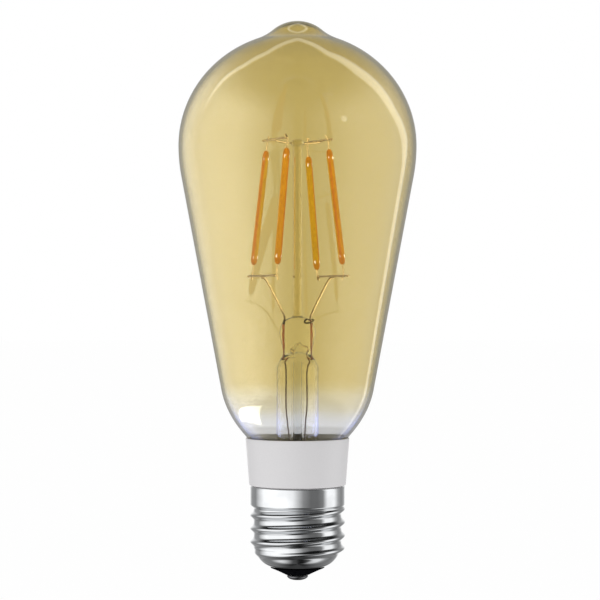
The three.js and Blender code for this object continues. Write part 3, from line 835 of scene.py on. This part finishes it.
def make_tab(side, end, start, reach, place, rough, material):
    """A flat metal tab out of the coating, narrow at its waist and curled over at its end."""
    bm = bmesh.new()
    inside = math.copysign(1.2 * MM, -reach)
    span = reach - inside
    hook = 0.7 * MM * (rough.random() + 0.4)
    sheet = bmesh.ops.create_cube(bm, size=1)["verts"]
    bmesh.ops.scale(bm, vec=(0.5 * MM, 0.28 * MM, abs(span)), verts=sheet)
    bmesh.ops.translate(bm, vec=(0, 0, start + inside + span / 2), verts=sheet)
    upright = [e for e in bm.edges if abs(e.verts[0].co.z - e.verts[1].co.z) > 1e-5]
    bmesh.ops.subdivide_edges(bm, edges=upright, cuts=14, use_grid_fill=True)
    bend_side = rough.choice((-1, 1))
    for vert in bm.verts:
        out = max((vert.co.z - start) / reach, 0)
        vert.co.x *= 1 - 0.35 * smooth(0.0, 0.25, out) * (1 - smooth(0.55, 0.8, out))
        curl = smooth(0.62, 1.0, out)
        vert.co.x += bend_side * hook * curl
        vert.co.y -= 0.35 * MM * curl
    edges = [e for e in bm.edges if e.calc_face_angle(0) > 1]
    bmesh.ops.bevel(bm, geom=edges, offset=0.05 * MM, segments=1, profile=0.5,
                    affect="EDGES", material=-1)
    bmesh.ops.transform(bm, matrix=place, verts=bm.verts[:])
    add_piece(f"{side}_{end}_tab", bm, material, [f"filament_{side}_{end}_tab"], 50)


class BULB_OT_filaments(Operator):
    """Make the four coated filaments with their metal tabs"""

    bl_idname = "bulb.filaments"
    bl_label = "Filaments"

    def execute(self, context):
        settings = context.scene.bulb_filament
        coat = phosphor_silicone(settings)
        metal = nickel("tab_metal")
        pad = mottled("pad_metal", (0.95, 0.72, 0.55), 0.3, 1.0, scale=2500.0, contrast=0.3)
        for side, quarter in SIDES.items():
            lower = BACK_DROP if side == "back" else 0
            place = filament_place(quarter, settings.length, lower)
            rough = random.Random(11 + quarter)
            make_coating(side, settings, place, coat)
            make_pads(side, settings, place, rough, pad)
            make_tab(side, "top", settings.length, TAB_TOP + lower, place, rough, metal)
            make_tab(side, "bottom", 0, lower - TAB_BOTTOM, place, rough, metal)
        return {"FINISHED"}


def nickel(name):
    """Nickel wire, yellowed, and burnt dark where it goes into the hot glass."""
    return wire_metal(name, (0.72, 0.52, 0.22), (0.16, 0.12, 0.06),
                      PRESS_TOP - 2 * MM, PRESS_TOP + 4.5 * MM)


def uneven(points, amount, seed):
    """The points moved a little, apart from the two ends."""
    rough = random.Random(seed)
    moved = [points[0]]
    for spot in points[1:-1]:
        moved.append(spot + Vector([rough.uniform(-amount, amount) for _ in range(3)]))
    return [*moved, points[-1]]


class BULB_OT_cage_wires(Operator):
    """Make the cross wires that join the filaments, and the wire that anchors them"""

    bl_idname = "bulb.cage_wires"
    bl_label = "Cage Wires"

    def execute(self, context):
        settings = context.scene.bulb_filament
        metal = nickel("cage_metal")
        diameter = settings.wire
        seed = 31
        for name, radius, turn, z, weld_length in (
            ("top", CAGE_TOP_RADIUS, CAGE_TOP_TURN, CAGE_TOP, 1.25 * MM),
            ("bottom", CAGE_BOTTOM_RADIUS, CAGE_BOTTOM_TURN, CAGE_BOTTOM, 1.0 * MM),
        ):
            for side, first in (("right", 0), ("left", 2)):
                seed += 1
                start, end = (
                    around(radius + TIE_STANDOFF, turn + quarter * QUARTER_TURN, z)
                    for quarter in (first, first + 1)
                )
                along = (end - start).normalized()
                over = along * 0.6 * MM
                span = [(start - over).lerp(end + over, i / 14) for i in range(15)]
                bm = bmesh.new()
                add_wire(bm, uneven(span, 0.06 * MM, seed), diameter, 0.22, seed)
                for tie in (start, end):
                    tie.z -= 0.02 * MM
                    add_bead(bm, tie, (0.42 * MM, 0.42 * MM, 0.36 * MM))
                weld = span[7] - Vector((0, 0, 0.12 * MM))
                turned = Matrix.Rotation(math.atan2(along.y, along.x), 4, "Z")
                add_bead(bm, weld, (weld_length, 0.36 * MM, 0.36 * MM), 3, turned)
                add_piece(f"{name}_tie_wire_{side}", bm, metal,
                          [f"{name}_cross_wire_{side}"], 0)
        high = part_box("anchor_wire")[1]
        z = middle("anchor_wire").z
        reach = math.hypot(high.x, high.y) - 0.2 * MM
        angle = CAGE_TOP_TURN + QUARTER_TURN / 2
        bm = bmesh.new()
        for sign, rise in ((-1, 0.55), (1, 0.5)):
            line = [
                around(sign * share * reach, angle, z + lift * MM)
                for share, lift in ((0.28, 0.0), (0.5, 0.05), (0.72, 0.22), (1, rise))
            ]
            add_wire(bm, curve_through(line, 4), diameter, 0.12, 5 + sign)
        add_piece("bead_wire", bm, metal, ["anchor_wire"], 0)
        return {"FINISHED"}


LEAD_SPACING = 3.6 * MM  # each lead from the axis, in the press
THIN_LEAD = 0.42 * MM


def make_inner_lead(side, sign, seed, seal_high, material):
    """The lead from the cage into the press, and the wire wound round it where it goes in."""
    radius = (CAGE_BOTTOM_RADIUS + TIE_STANDOFF) * math.sqrt(0.5)
    angle = CAGE_BOTTOM_TURN + QUARTER_TURN / 2
    x = sign * LEAD_SPACING
    weld = around(sign * radius, angle, CAGE_BOTTOM - 0.45 * MM)
    bend = around(sign * (radius - 1.5 * MM), angle, weld.z - 1.0 * MM)
    foot = Vector((sign * (LEAD_SPACING + 0.9 * MM), bend.y * 0.15, PRESS_TOP + 2.4 * MM))
    line = [weld, bend, foot, Vector((x, 0, PRESS_TOP + 0.3 * MM)),
            Vector((x, 0, seal_high + 0.2 * MM))]
    bm = bmesh.new()
    add_wire(bm, curve_through(line, 8), 0.6 * MM, 0.05, seed)
    knot = Vector((x, 0, PRESS_TOP - 1.3 * MM))
    if side == "left":
        add_bead(bm, knot, (0.42 * MM, 0.42 * MM, 0.95 * MM))
    else:
        loop = []
        for i in range(15):
            turn = i * FULL_TURN / 14
            loop.append(knot + MM * Vector((
                1.3 * math.cos(turn) - 0.5, 0.9 * math.sin(turn), 0.55 * math.sin(turn + 0.6) + 0.3,
            )))
        add_wire(bm, loop, THIN_LEAD, 0.1, seed)
    add_piece(f"upper_lead_{side}", bm, material, [f"inner_lead_{side}"], 0)


class BULB_OT_leads(Operator):
    """Make the wires that come up through the stem, and their seals in the press"""

    bl_idname = "bulb.leads"
    bl_label = "Lead Wires"

    def execute(self, context):
        metal = nickel("lead_metal")
        copper = mottled("seal_copper", (0.60, 0.20, 0.09), 0.35, 1.0, scale=1800.0, contrast=0.25)
        dark = mottled("lead_copper", (0.16, 0.10, 0.07), 0.4, 1.0, scale=1800.0, contrast=0.3)
        seal_low, seal_high = level("dumet_seal_left")
        board_top = level("driver_board")[1]
        for side, sign, seed in (("left", -1, 3), ("right", 1, 4)):
            make_inner_lead(side, sign, seed, seal_high, metal)

            x = sign * LEAD_SPACING
            upper, lower = Vector((x, 0, seal_high + 0.3 * MM)), Vector((x, 0, seal_low))
            line = uneven([upper.lerp(lower, i / 8) for i in range(9)], 0.06 * MM, seed)
            bm = bmesh.new()
            add_wire(bm, line, 0.62 * MM, 0.12, seed + 5)
            add_piece(f"red_seal_{side}", bm, copper, [f"dumet_seal_{side}"], 0)

            wide = 3.15 * MM if side == "left" else 2.6 * MM
            line = [Vector((sign * out, y, z)) for out, y, z in (
                (LEAD_SPACING, 0, seal_low + 0.2 * MM),
                (wide, 0.1 * MM, seal_low - 3 * MM),
                (wide, 0, seal_low - 12 * MM),
                (wide - 0.45 * MM, -0.2 * MM, seal_low - 17.5 * MM),
                (2.0 * MM, -0.4 * MM, seal_low - 23.5 * MM),
                (2.2 * MM, -0.3 * MM, NECK_BOTTOM - 1 * MM),
                (2.5 * MM, 0, board_top + 0.3 * MM),
            )]
            bm = bmesh.new()
            add_wire(bm, curve_through(line, 10), THIN_LEAD, 0.04, seed)
            add_piece(f"lower_lead_{side}", bm, dark, [f"outer_lead_{side}"], 0)
        return {"FINISHED"}


# ---------------------------------------------------------------- collar and cap


class BULB_OT_collar(Operator):
    """Make the plastic collar and the cement that holds the glass in it"""

    bl_idname = "bulb.collar"
    bl_label = "Collar"

    def execute(self, context):
        settings = context.scene.bulb_collar
        plastic = mottled("white_plastic", settings.plastic, 0.42, scale=2600.0, contrast=0.012,
                          relief=0.06, depth=0.03 * MM, roughness_spread=0.04)
        top, bottom = COLLAR_TOP, COLLAR_BOTTOM
        upper, lower = 14.15 * MM, 13.225 * MM
        bore = 12.8 * MM
        ledge = level("neck_adhesive")[0] - 0.3 * MM
        spigot = 12.255 * MM
        edge = 0.3 * MM
        lip = upper - 0.23 * MM

        def corner(a, b, c):
            """A rounded corner from a to c, about b."""
            return quadratic(Vector(a), Vector(b), Vector(c), 5)

        line = [Vector((lip, top))]
        line += corner((upper - 0.2 * MM, top), (upper, top), (upper, top - 0.25 * MM))
        slope = Vector((lower, bottom + edge))
        line += straight(line[-1], slope, 8)
        line += corner(slope, (lower, bottom), (lower - edge, bottom))
        line += [Vector(spot) for spot in (
            (spigot, bottom), (spigot, bottom - 4.3 * MM), (spigot - 1 * MM, bottom - 4.3 * MM),
            (spigot - 1 * MM, ledge - 1.3 * MM), (10.8 * MM, ledge - 0.65 * MM),
            (10.8 * MM, ledge), (bore, ledge), (bore, top - 2 * (lip - bore)),
        )]
        line += corner(line[-1], (lip - 0.4 * MM, top - 0.5 * MM), (lip, top))[:-1]
        bm = lathe(line, 144)
        add_piece("collar", bm, plastic, ["collar_housing"], 30)

        low, high = level("neck_adhesive")
        cement = mottled("neck_cement", (0.8, 0.8, 0.79), 0.75, scale=700.0, contrast=0.08,
                         relief=0.35, depth=0.2 * MM)
        inner, outer = 11.75 * MM, 12.65 * MM
        line = [Vector((inner, low)), Vector((outer, low)), Vector((outer, high + 0.2 * MM))]
        line += quadratic(line[-1], Vector((12.2 * MM, high - 0.2 * MM)),
                          Vector((inner, high + 0.5 * MM)), 6)
        bm = lathe(line, 96)
        add_piece("cement_ring", bm, cement, ["neck_adhesive"], 40)
        return {"FINISHED"}


def thread_depth(settings, z, angle, start, band_low):
    """How far the thread stands out at a height and an angle about the axis."""
    turns = (z - band_low) / settings.pitch + 0.35
    wave = (0.5 + 0.5 * math.cos(FULL_TURN * turns - angle)) ** 1.8
    grown = smooth(start, start + settings.pitch * 0.75, z)
    return (settings.major - settings.minor) * wave * grown


class BULB_OT_cap(Operator):
    """Make the screw shell, its black insulator and the centre contact"""

    bl_idname = "bulb.cap"
    bl_label = "Screw Cap"

    def execute(self, context):
        settings = context.scene.bulb_cap
        low, high = level("screw_shell")
        mouth = 7.6 * MM
        band_radius = settings.major - 0.07 * MM
        sheet = 0.4 * MM
        thread_low = low + 5.15 * MM
        band_low = high - 4.9 * MM
        swell = (settings.minor - mouth) * 0.72
        dome = [Vector((mouth, low))] + quadratic(
            Vector((mouth, low)), Vector((mouth + swell, low + 0.98 * MM)),
            Vector((settings.minor, thread_low)), 44,
        )
        rows = 96
        threads = straight(dome[-1], Vector((settings.minor, band_low)), rows)
        band = straight(threads[-1], Vector((settings.minor, high - 0.15 * MM)), 8)
        outside = dome + threads + band + [Vector((settings.minor - 0.12 * MM, high))]
        inside = [Vector((spot.x - sheet * 0.9, max(spot.y, low + 0.25 * MM)))
                  for spot in reversed(outside[::2])]
        lip = [Vector((mouth - 0.28 * MM, low + 0.05 * MM))]
        bm = lathe(outside + inside + lip, 160)
        for vert in bm.verts:
            z = vert.co.z
            flat = math.hypot(vert.co.x, vert.co.y)
            angle = math.atan2(vert.co.y, vert.co.x)
            out = thread_depth(settings, z, angle, low + 2.2 * MM, band_low)
            run_out = smooth(band_low - settings.pitch / 3, band_low, z)
            out += (band_radius - settings.minor - out) * run_out
            vert.co.x *= (flat + out) / flat
            vert.co.y *= (flat + out) / flat
        add_piece("threaded_shell", bm, plated_brass(settings), ["screw_shell"], 60)

        low, high = level("base_insulator")
        black = mottled("black_insulator", (0.003, 0.003, 0.004), 0.4, scale=900.0, contrast=0.4,
                        relief=0.12, depth=0.06 * MM, Specular_IOR_Level=0.0)
        bore, neck = 1.1 * MM, 6.9 * MM
        shoulder = low + 2.0 * MM
        line = [Vector(spot) for spot in (
            (bore, high), (neck, high), (neck, shoulder), (7.3 * MM, shoulder),
        )]
        line += quadratic(line[-1], Vector((7.55 * MM, shoulder)),
                          Vector((7.1 * MM, shoulder - 0.24 * MM)), 5)
        line += quadratic(line[-1], Vector((4.9 * MM, low + 0.85 * MM)),
                          Vector((3.3 * MM, low)), 10)
        line += [Vector((bore, low))]
        bm = lathe(line, 96)
        add_piece("insulator", bm, black, ["base_insulator"], 50)

        low, high = level("centre_contact")
        # painted shade: the contact's tin is given a dark grey far below tin's own brightness,
        # standing in for the shade under the cap
        tin = mottled("tinned_contact", (0.16, 0.16, 0.17), 0.3, 1.0, scale=700.0, contrast=0.2,
                      relief=0.3, depth=0.1 * MM)
        top = 1.15 * MM
        line = [Vector(spot) for spot in (
            (0, high), (0.8 * MM, high), (0.8 * MM, top), (2.7 * MM, top),
        )]
        line += quadratic(line[-1], Vector((2.95 * MM, top)),
                          Vector((2.88 * MM, top - 0.25 * MM)), 4)
        line += quadratic(line[-1], Vector((2.6 * MM, 0.25 * MM)), Vector((1.4 * MM, low)), 8)
        line += [Vector((0, low))]
        bm = lathe(line, 72)
        add_piece("contact_button", bm, tin, ["centre_contact"], 50)
        return {"FINISHED"}


class BULB_OT_driver(Operator):
    """Finish the driver and radio parts inside the collar and cap"""

    bl_idname = "bulb.driver"
    bl_label = "Driver and Radio"

    def execute(self, context):
        board = mottled("green_board", (0.03, 0.16, 0.07), 0.45, scale=420.0, contrast=0.25)
        sleeve = mottled("capacitor_sleeve", (0.02, 0.03, 0.06), 0.35, scale=300.0, contrast=0.2)
        film = mottled("yellow_film", (0.60, 0.38, 0.06), 0.4, scale=500.0, contrast=0.1)
        resin = mottled("dark_resin", (0.025, 0.025, 0.03), 0.5, scale=1500.0, contrast=0.3)
        resistor = mottled("resistor_body", (0.45, 0.36, 0.22), 0.55, scale=900.0, contrast=0.12)
        wire = mottled("wire_sleeve", (0.65, 0.65, 0.62), 0.45, scale=800.0, contrast=0.06)
        tin = mottled("shield_tin", (0.55, 0.56, 0.57), 0.3, 1.0, scale=500.0, contrast=0.1)
        for name, material in (
            ("driver_board", board), ("radio_board", board), ("electrolytic_capacitor", sleeve),
            ("film_capacitor", film), ("power_inductor", resin), ("bridge_rectifier", resin),
            ("driver_chip", resin), ("fusible_resistor", resistor), ("live_wire", wire),
            ("neutral_wire", wire), ("radio_shield", tin),
        ):
            dress(name, material)
        return {"FINISHED"}


# ---------------------------------------------------------------- stage


# How bright the studio looks in glass and in metal at each turn from the camera's side, in
# degrees towards +X
BACK_TURNS = (
    (-180, 0.3), (-149, 0.4), (-131, 1.4), (-122, 2.2), (-107, 3.7), (-90, 4.4), (-72, 4.8),
    (-50, 3.4), (-30, 1.9), (-12, 0.8), (0, 0.4), (14, 0.5), (32, 1.2), (58, 2.3), (74, 2.7),
    (96, 2.5), (112, 1.9), (128, 1.2), (136, 0.3), (180, 0.3),
)
FRONT_TURNS = (
    (-180, 0.42), (-160, 0.42), (-149, 0.6), (-131, 1.4), (-120, 1.4), (-107, 1.2), (-90, 1.1),
    (-60, 0.9), (-30, 0.4), (0, 0.15), (30, 0.25), (60, 0.5), (90, 0.6), (112, 0.8), (128, 0.8),
    (136, 0.45), (160, 0.4), (180, 0.42),
)
METAL_TURNS = (
    (-180, 1.2), (-163, 1.1), (-146, 0.45), (-122, 0.4), (-106, 1.1), (-90, 1.75), (-60, 1.85),
    (-28, 1.8), (-12, 1.5), (0, 0.95), (14, 0.42), (32, 0.22), (50, 0.22), (65, 0.34),
    (78, 1.6), (100, 1.65), (116, 0.6), (132, 0.35), (150, 0.5), (165, 1.1), (180, 1.2),
)
STUDIO_PEAK = 5.0  # brighter than any value in the tables, so that a ramp can hold them
ROOM_LIGHT = 0.66  # what lights the plastic and the metal
INSIDE_LIGHT = 2.15  # what lights the pieces inside the glass
BACK_SHARE = 1.42  # brightness of the back wall's reflections
WINDOW_LIGHT = 8.0
LAMP_DIRECTION = (0.684, -0.62, 0.385)

# The low window's four edges, as (share of y, share of z, least sum inside)
WINDOW_EDGES = (
    (0.0, -1.0, 0.43), (0.41, 1.0, -0.7525), (1.0, -4.83, 2.6), (-0.59, 1.0, -0.87),
)

# A bright rim behind the bulb, as (turn round the view from +X, how far round from the camera's
# side, half width, brightness), the first three in degrees
GLASS_RIM = (
    (-180, 112, 2, 0), (-95, 127, 2, 0), (-60, 127, 2.5, 0.8), (-5, 127, 4, 1.4), (8, 125, 7, 1.4),
    (25, 114, 6.5, 2.0), (40, 111, 7, 2.2), (54, 108, 7, 2.2), (74, 112, 4, 1.6), (90, 133, 4, 0.6),
    (106, 113, 3, 1.4), (120, 109, 3, 1.9), (133, 112, 2.5, 2.2), (146, 112, 2, 1.2),
    (158, 112, 2, 0), (180, 112, 2, 0),
)


def times(tree, first, second):
    """The product of two values."""
    return arithmetic(tree, "MULTIPLY", first, second)


def plus(tree, first, second):
    """The sum of two values."""
    return arithmetic(tree, "ADD", first, second)


def walls(tree, turn, brightness):
    """How bright the studio's walls are, from a table of turns."""
    share = remap(tree, turn, -math.pi, math.pi, 0, 1)
    stops = [((degrees + 180) / 360, (value / STUDIO_PEAK,) * 3) for degrees, value in brightness]
    return times(tree, ramp(tree, share, stops, "LINEAR"), STUDIO_PEAK)


def rim_glow(tree, x, behind, z):
    """The bright rim behind the bulb."""
    widest = 20
    stops = [((turn + 180) / 360, (away / 180, half / widest, value / STUDIO_PEAK))
             for turn, away, half, value in GLASS_RIM]
    share = remap(tree, arithmetic(tree, "ARCTAN2", z, x), -math.pi, math.pi, 0, 1)
    rim = node(tree, "ShaderNodeSeparateColor")
    link(tree, ramp(tree, share, stops, "LINEAR"), rim.inputs["Color"])
    away = arithmetic(tree, "DIVIDE", arithmetic(tree, "ARCCOSINE", behind, 0.0), math.pi)
    offset = arithmetic(tree, "SUBTRACT", away, rim.outputs["Red"])
    offset = arithmetic(tree, "ABSOLUTE", offset, 0.0)
    reach = arithmetic(tree, "DIVIDE", offset, times(tree, rim.outputs["Green"], widest / 180))
    return times(tree, rim.outputs["Blue"], remap(tree, reach, 0.75, 1.25, STUDIO_PEAK, 0))


def window_glow(tree, x, y, z):
    """The low window at the left."""
    pane = WINDOW_LIGHT
    for along_y, along_z, edge in WINDOW_EDGES:
        side = plus(tree, times(tree, y, along_y), times(tree, z, along_z))
        pane = times(tree, remap(tree, side, edge, edge + 0.05, 0, 1, "SMOOTHSTEP"), pane)
    return times(tree, pane, remap(tree, x, -0.2, -0.3, 0, 1))


def lamp_glow(tree, direction):
    """A small lamp."""
    lamp = node(tree, "ShaderNodeVectorMath", operation="DOT_PRODUCT")
    lamp.inputs[1].default_value = LAMP_DIRECTION
    link(tree, direction, lamp.inputs[0])
    return remap(tree, lamp.outputs["Value"], 0.9982, 0.9994, 0, 2.0, "SMOOTHSTEP")


def studio_world(tint):
    """A plain white studio. Surfaces that reflect it see its soft boxes and dark corners."""
    world = bpy.data.worlds.new("studio")
    world.use_nodes = True
    tree = world.node_tree
    direction = node(tree, "ShaderNodeTexCoord").outputs["Generated"]
    x, y, z = axes(tree, direction)
    behind = times(tree, y, -1.0)
    turn = arithmetic(tree, "ARCTAN2", x, behind)

    # the front of the glass reflects faint walls, the rim, the window and the lamp
    overhead = remap(tree, z, 0.42, 0.88, 1.0, 0.15, "SMOOTHSTEP")
    in_front = times(tree, walls(tree, turn, FRONT_TURNS), overhead)
    for glow in (rim_glow(tree, x, behind, z), window_glow(tree, x, y, z),
                 lamp_glow(tree, direction)):
        in_front = plus(tree, in_front, glow)

    # the back of the glass reflects brighter walls the other way round, from inside
    turned = arithmetic(tree, "ARCTAN2", times(tree, x, -1.0), behind)
    ceiling = remap(tree, z, -0.95, -0.5, 0.1, 1.0, "SMOOTHSTEP")
    lower = remap(tree, z, 0.42, 0.62, 1.0, 0.1, "SMOOTHSTEP")
    in_back = times(tree, walls(tree, turned, BACK_TURNS), times(tree, ceiling, lower))

    # metal reflects dark over and under the cap
    beside = remap(tree, arithmetic(tree, "ABSOLUTE", x, 0.0), 0.1, 0.55, 0.06, 0.8, "SMOOTHSTEP")
    over = remap(tree, z, 0.42, 0.7, 1.0, 0.04, "SMOOTHSTEP")
    level_with = remap(tree, z, -0.5, -0.22, 0.0, 1.0, "SMOOTHSTEP")
    under = arithmetic(tree, "MAXIMUM", beside, level_with)
    in_metal = times(tree, walls(tree, turn, METAL_TURNS), times(tree, over, under))

    # which of these a ray sees depends on how it was mirrored and how much glass it has crossed
    path = node(tree, "ShaderNodeLightPath")

    def more_than(output, limit):
        """1 where a count of the ray's path is over the limit."""
        return arithmetic(tree, "GREATER_THAN", path.outputs[output], limit)

    def choose(share, first, second):
        """The second number where share is 1."""
        return mix(tree, share, first, second, kind="FLOAT")

    sharp = path.outputs["Is Singular Ray"]
    mirrored = more_than("Glossy Depth", 0.5)
    lighting = more_than("Diffuse Depth", 0.5)
    inside = more_than("Transmission Depth", 0.5)
    behind_wall = more_than("Transmission Depth", 3.5)
    deep = more_than("Transmission Depth", 4.5)
    through = choose(behind_wall, in_front, choose(deep, in_back, 0.95))
    reflected = choose(mirrored, 1.0, choose(sharp, in_metal, through))
    room = choose(inside, ROOM_LIGHT, INSIDE_LIGHT)
    background = tree.nodes["Background"]
    link(tree, choose(lighting, reflected, room), background.inputs["Strength"])

    # light from the back wall crosses the tinted front wall twice, so its colour makes up for that
    once = arithmetic(tree, "SUBTRACT", behind_wall, deep)
    for gate in (mirrored, sharp, arithmetic(tree, "SUBTRACT", 1.0, lighting)):
        once = times(tree, once, gate)
    made_up = (*(BACK_SHARE / share**1.5 for share in tint), 1)
    link(tree, mix(tree, once, (1, 1, 1, 1), made_up), background.inputs["Color"])
    bpy.context.scene.world = world


def soft_light(name, place, size, power):
    """A soft light that looks at the bulb and isn't seen in reflections."""
    lamp = bpy.data.lights.new(name, "AREA")
    lamp.size = size
    lamp.energy = power
    holder = bpy.data.objects.new(name, lamp)
    holder.location = place
    towards = Vector(LIT_SPOT) - Vector(place)
    holder.rotation_euler = towards.to_track_quat("-Z", "Y").to_euler()
    holder.visible_glossy = False
    holder.visible_camera = False
    holder.visible_transmission = False
    bpy.context.scene.collection.objects.link(holder)


FLOOR_LEVEL = -45 * MM
FLOOR_REACH = 6.0  # each side of the bulb
FLOOR_GLOW = 0.965
KEY_PLACE = (-0.75, -0.55, 0.35)
KEY_SIZE = 0.5
LIT_SPOT = (0, 0, 0.07)
CAMERA_SIDE = 0.68 * MM  # the camera stands this far to the right of the axis


class BULB_OT_stage(Operator):
    """Set up the pale floor, the studio light and the camera"""

    bl_idname = "bulb.stage"
    bl_label = "Stage"

    def execute(self, context):
        settings = context.scene.bulb_stage
        studio_world(context.scene.bulb_glass.tint)
        context.scene.view_settings.view_transform = "Standard"

        bm = bmesh.new()
        bmesh.ops.create_grid(bm, x_segments=1, y_segments=1, size=FLOOR_REACH,
                              matrix=Matrix.Translation((0, 0, FLOOR_LEVEL)))
        mesh = bpy.data.meshes.new("floor")
        bm.to_mesh(mesh)
        bm.free()
        floor = bpy.data.objects.new("floor", mesh)
        context.scene.collection.objects.link(floor)
        material, _, principled, _ = shader("pale_floor", 0.9, Specular_IOR_Level=0.0)
        principled.inputs["Base Color"].default_value = (0.04, 0.04, 0.04, 1)
        principled.inputs["Emission Color"].default_value = (1, 1, 1, 1)
        principled.inputs["Emission Strength"].default_value = FLOOR_GLOW
        mesh.materials.append(material)
        floor.visible_glossy = False
        floor.visible_transmission = False

        soft_light("key", KEY_PLACE, KEY_SIZE, settings.key_power)

        camera = bpy.data.cameras.new("camera")
        camera.sensor_width = 36
        camera.lens = camera.sensor_width * settings.distance / settings.view_width
        camera.clip_start = 0.01
        holder = bpy.data.objects.new("camera", camera)
        holder.location = (CAMERA_SIDE, -settings.distance, settings.camera_height)
        holder.rotation_euler = (QUARTER_TURN, 0, 0)
        context.scene.collection.objects.link(holder)
        context.scene.camera = holder
        return {"FINISHED"}


# ---------------------------------------------------------------- panel and registration


SETTINGS = (
    ("bulb_glass", GlassSettings), ("bulb_stem", StemSettings),
    ("bulb_filament", FilamentSettings), ("bulb_collar", CollarSettings),
    ("bulb_cap", CapSettings), ("bulb_stage", StageSettings),
)
OPERATORS = (
    BULB_OT_glass, BULB_OT_stem, BULB_OT_filaments, BULB_OT_cage_wires, BULB_OT_leads,
    BULB_OT_collar, BULB_OT_cap, BULB_OT_driver, BULB_OT_stage,
)


class BULB_PT_panel(Panel):
    """Lists the bulb's pieces and their settings"""

    bl_idname = "BULB_PT_panel"
    bl_label = "Amber Filament Bulb"
    bl_space_type = "VIEW_3D"
    bl_region_type = "UI"
    bl_category = "Bulb"

    def draw(self, context):
        layout = self.layout
        for name, group in SETTINGS:
            box = layout.box()
            box.label(text=group.__doc__)
            for prop in group.__annotations__:
                box.prop(getattr(context.scene, name), prop)
        for operator in OPERATORS:
            layout.operator(operator.bl_idname)


def register():
    """Adds the settings, the operators and the panel."""
    for name, group in SETTINGS:
        bpy.utils.register_class(group)
        setattr(bpy.types.Scene, name, PointerProperty(type=group))
    for operator in (*OPERATORS, BULB_PT_panel):
        bpy.utils.register_class(operator)


def unregister():
    """Takes them away again."""
    for operator in (BULB_PT_panel, *reversed(OPERATORS)):
        bpy.utils.unregister_class(operator)
    for name, group in reversed(SETTINGS):
        delattr(bpy.types.Scene, name)
        bpy.utils.unregister_class(group)


def main():
    """Makes every piece and the stage."""
    register()
    for operator in OPERATORS:
        group, name = operator.bl_idname.split(".")
        getattr(getattr(bpy.ops, group), name)()


if __name__ == "__main__":
    main()
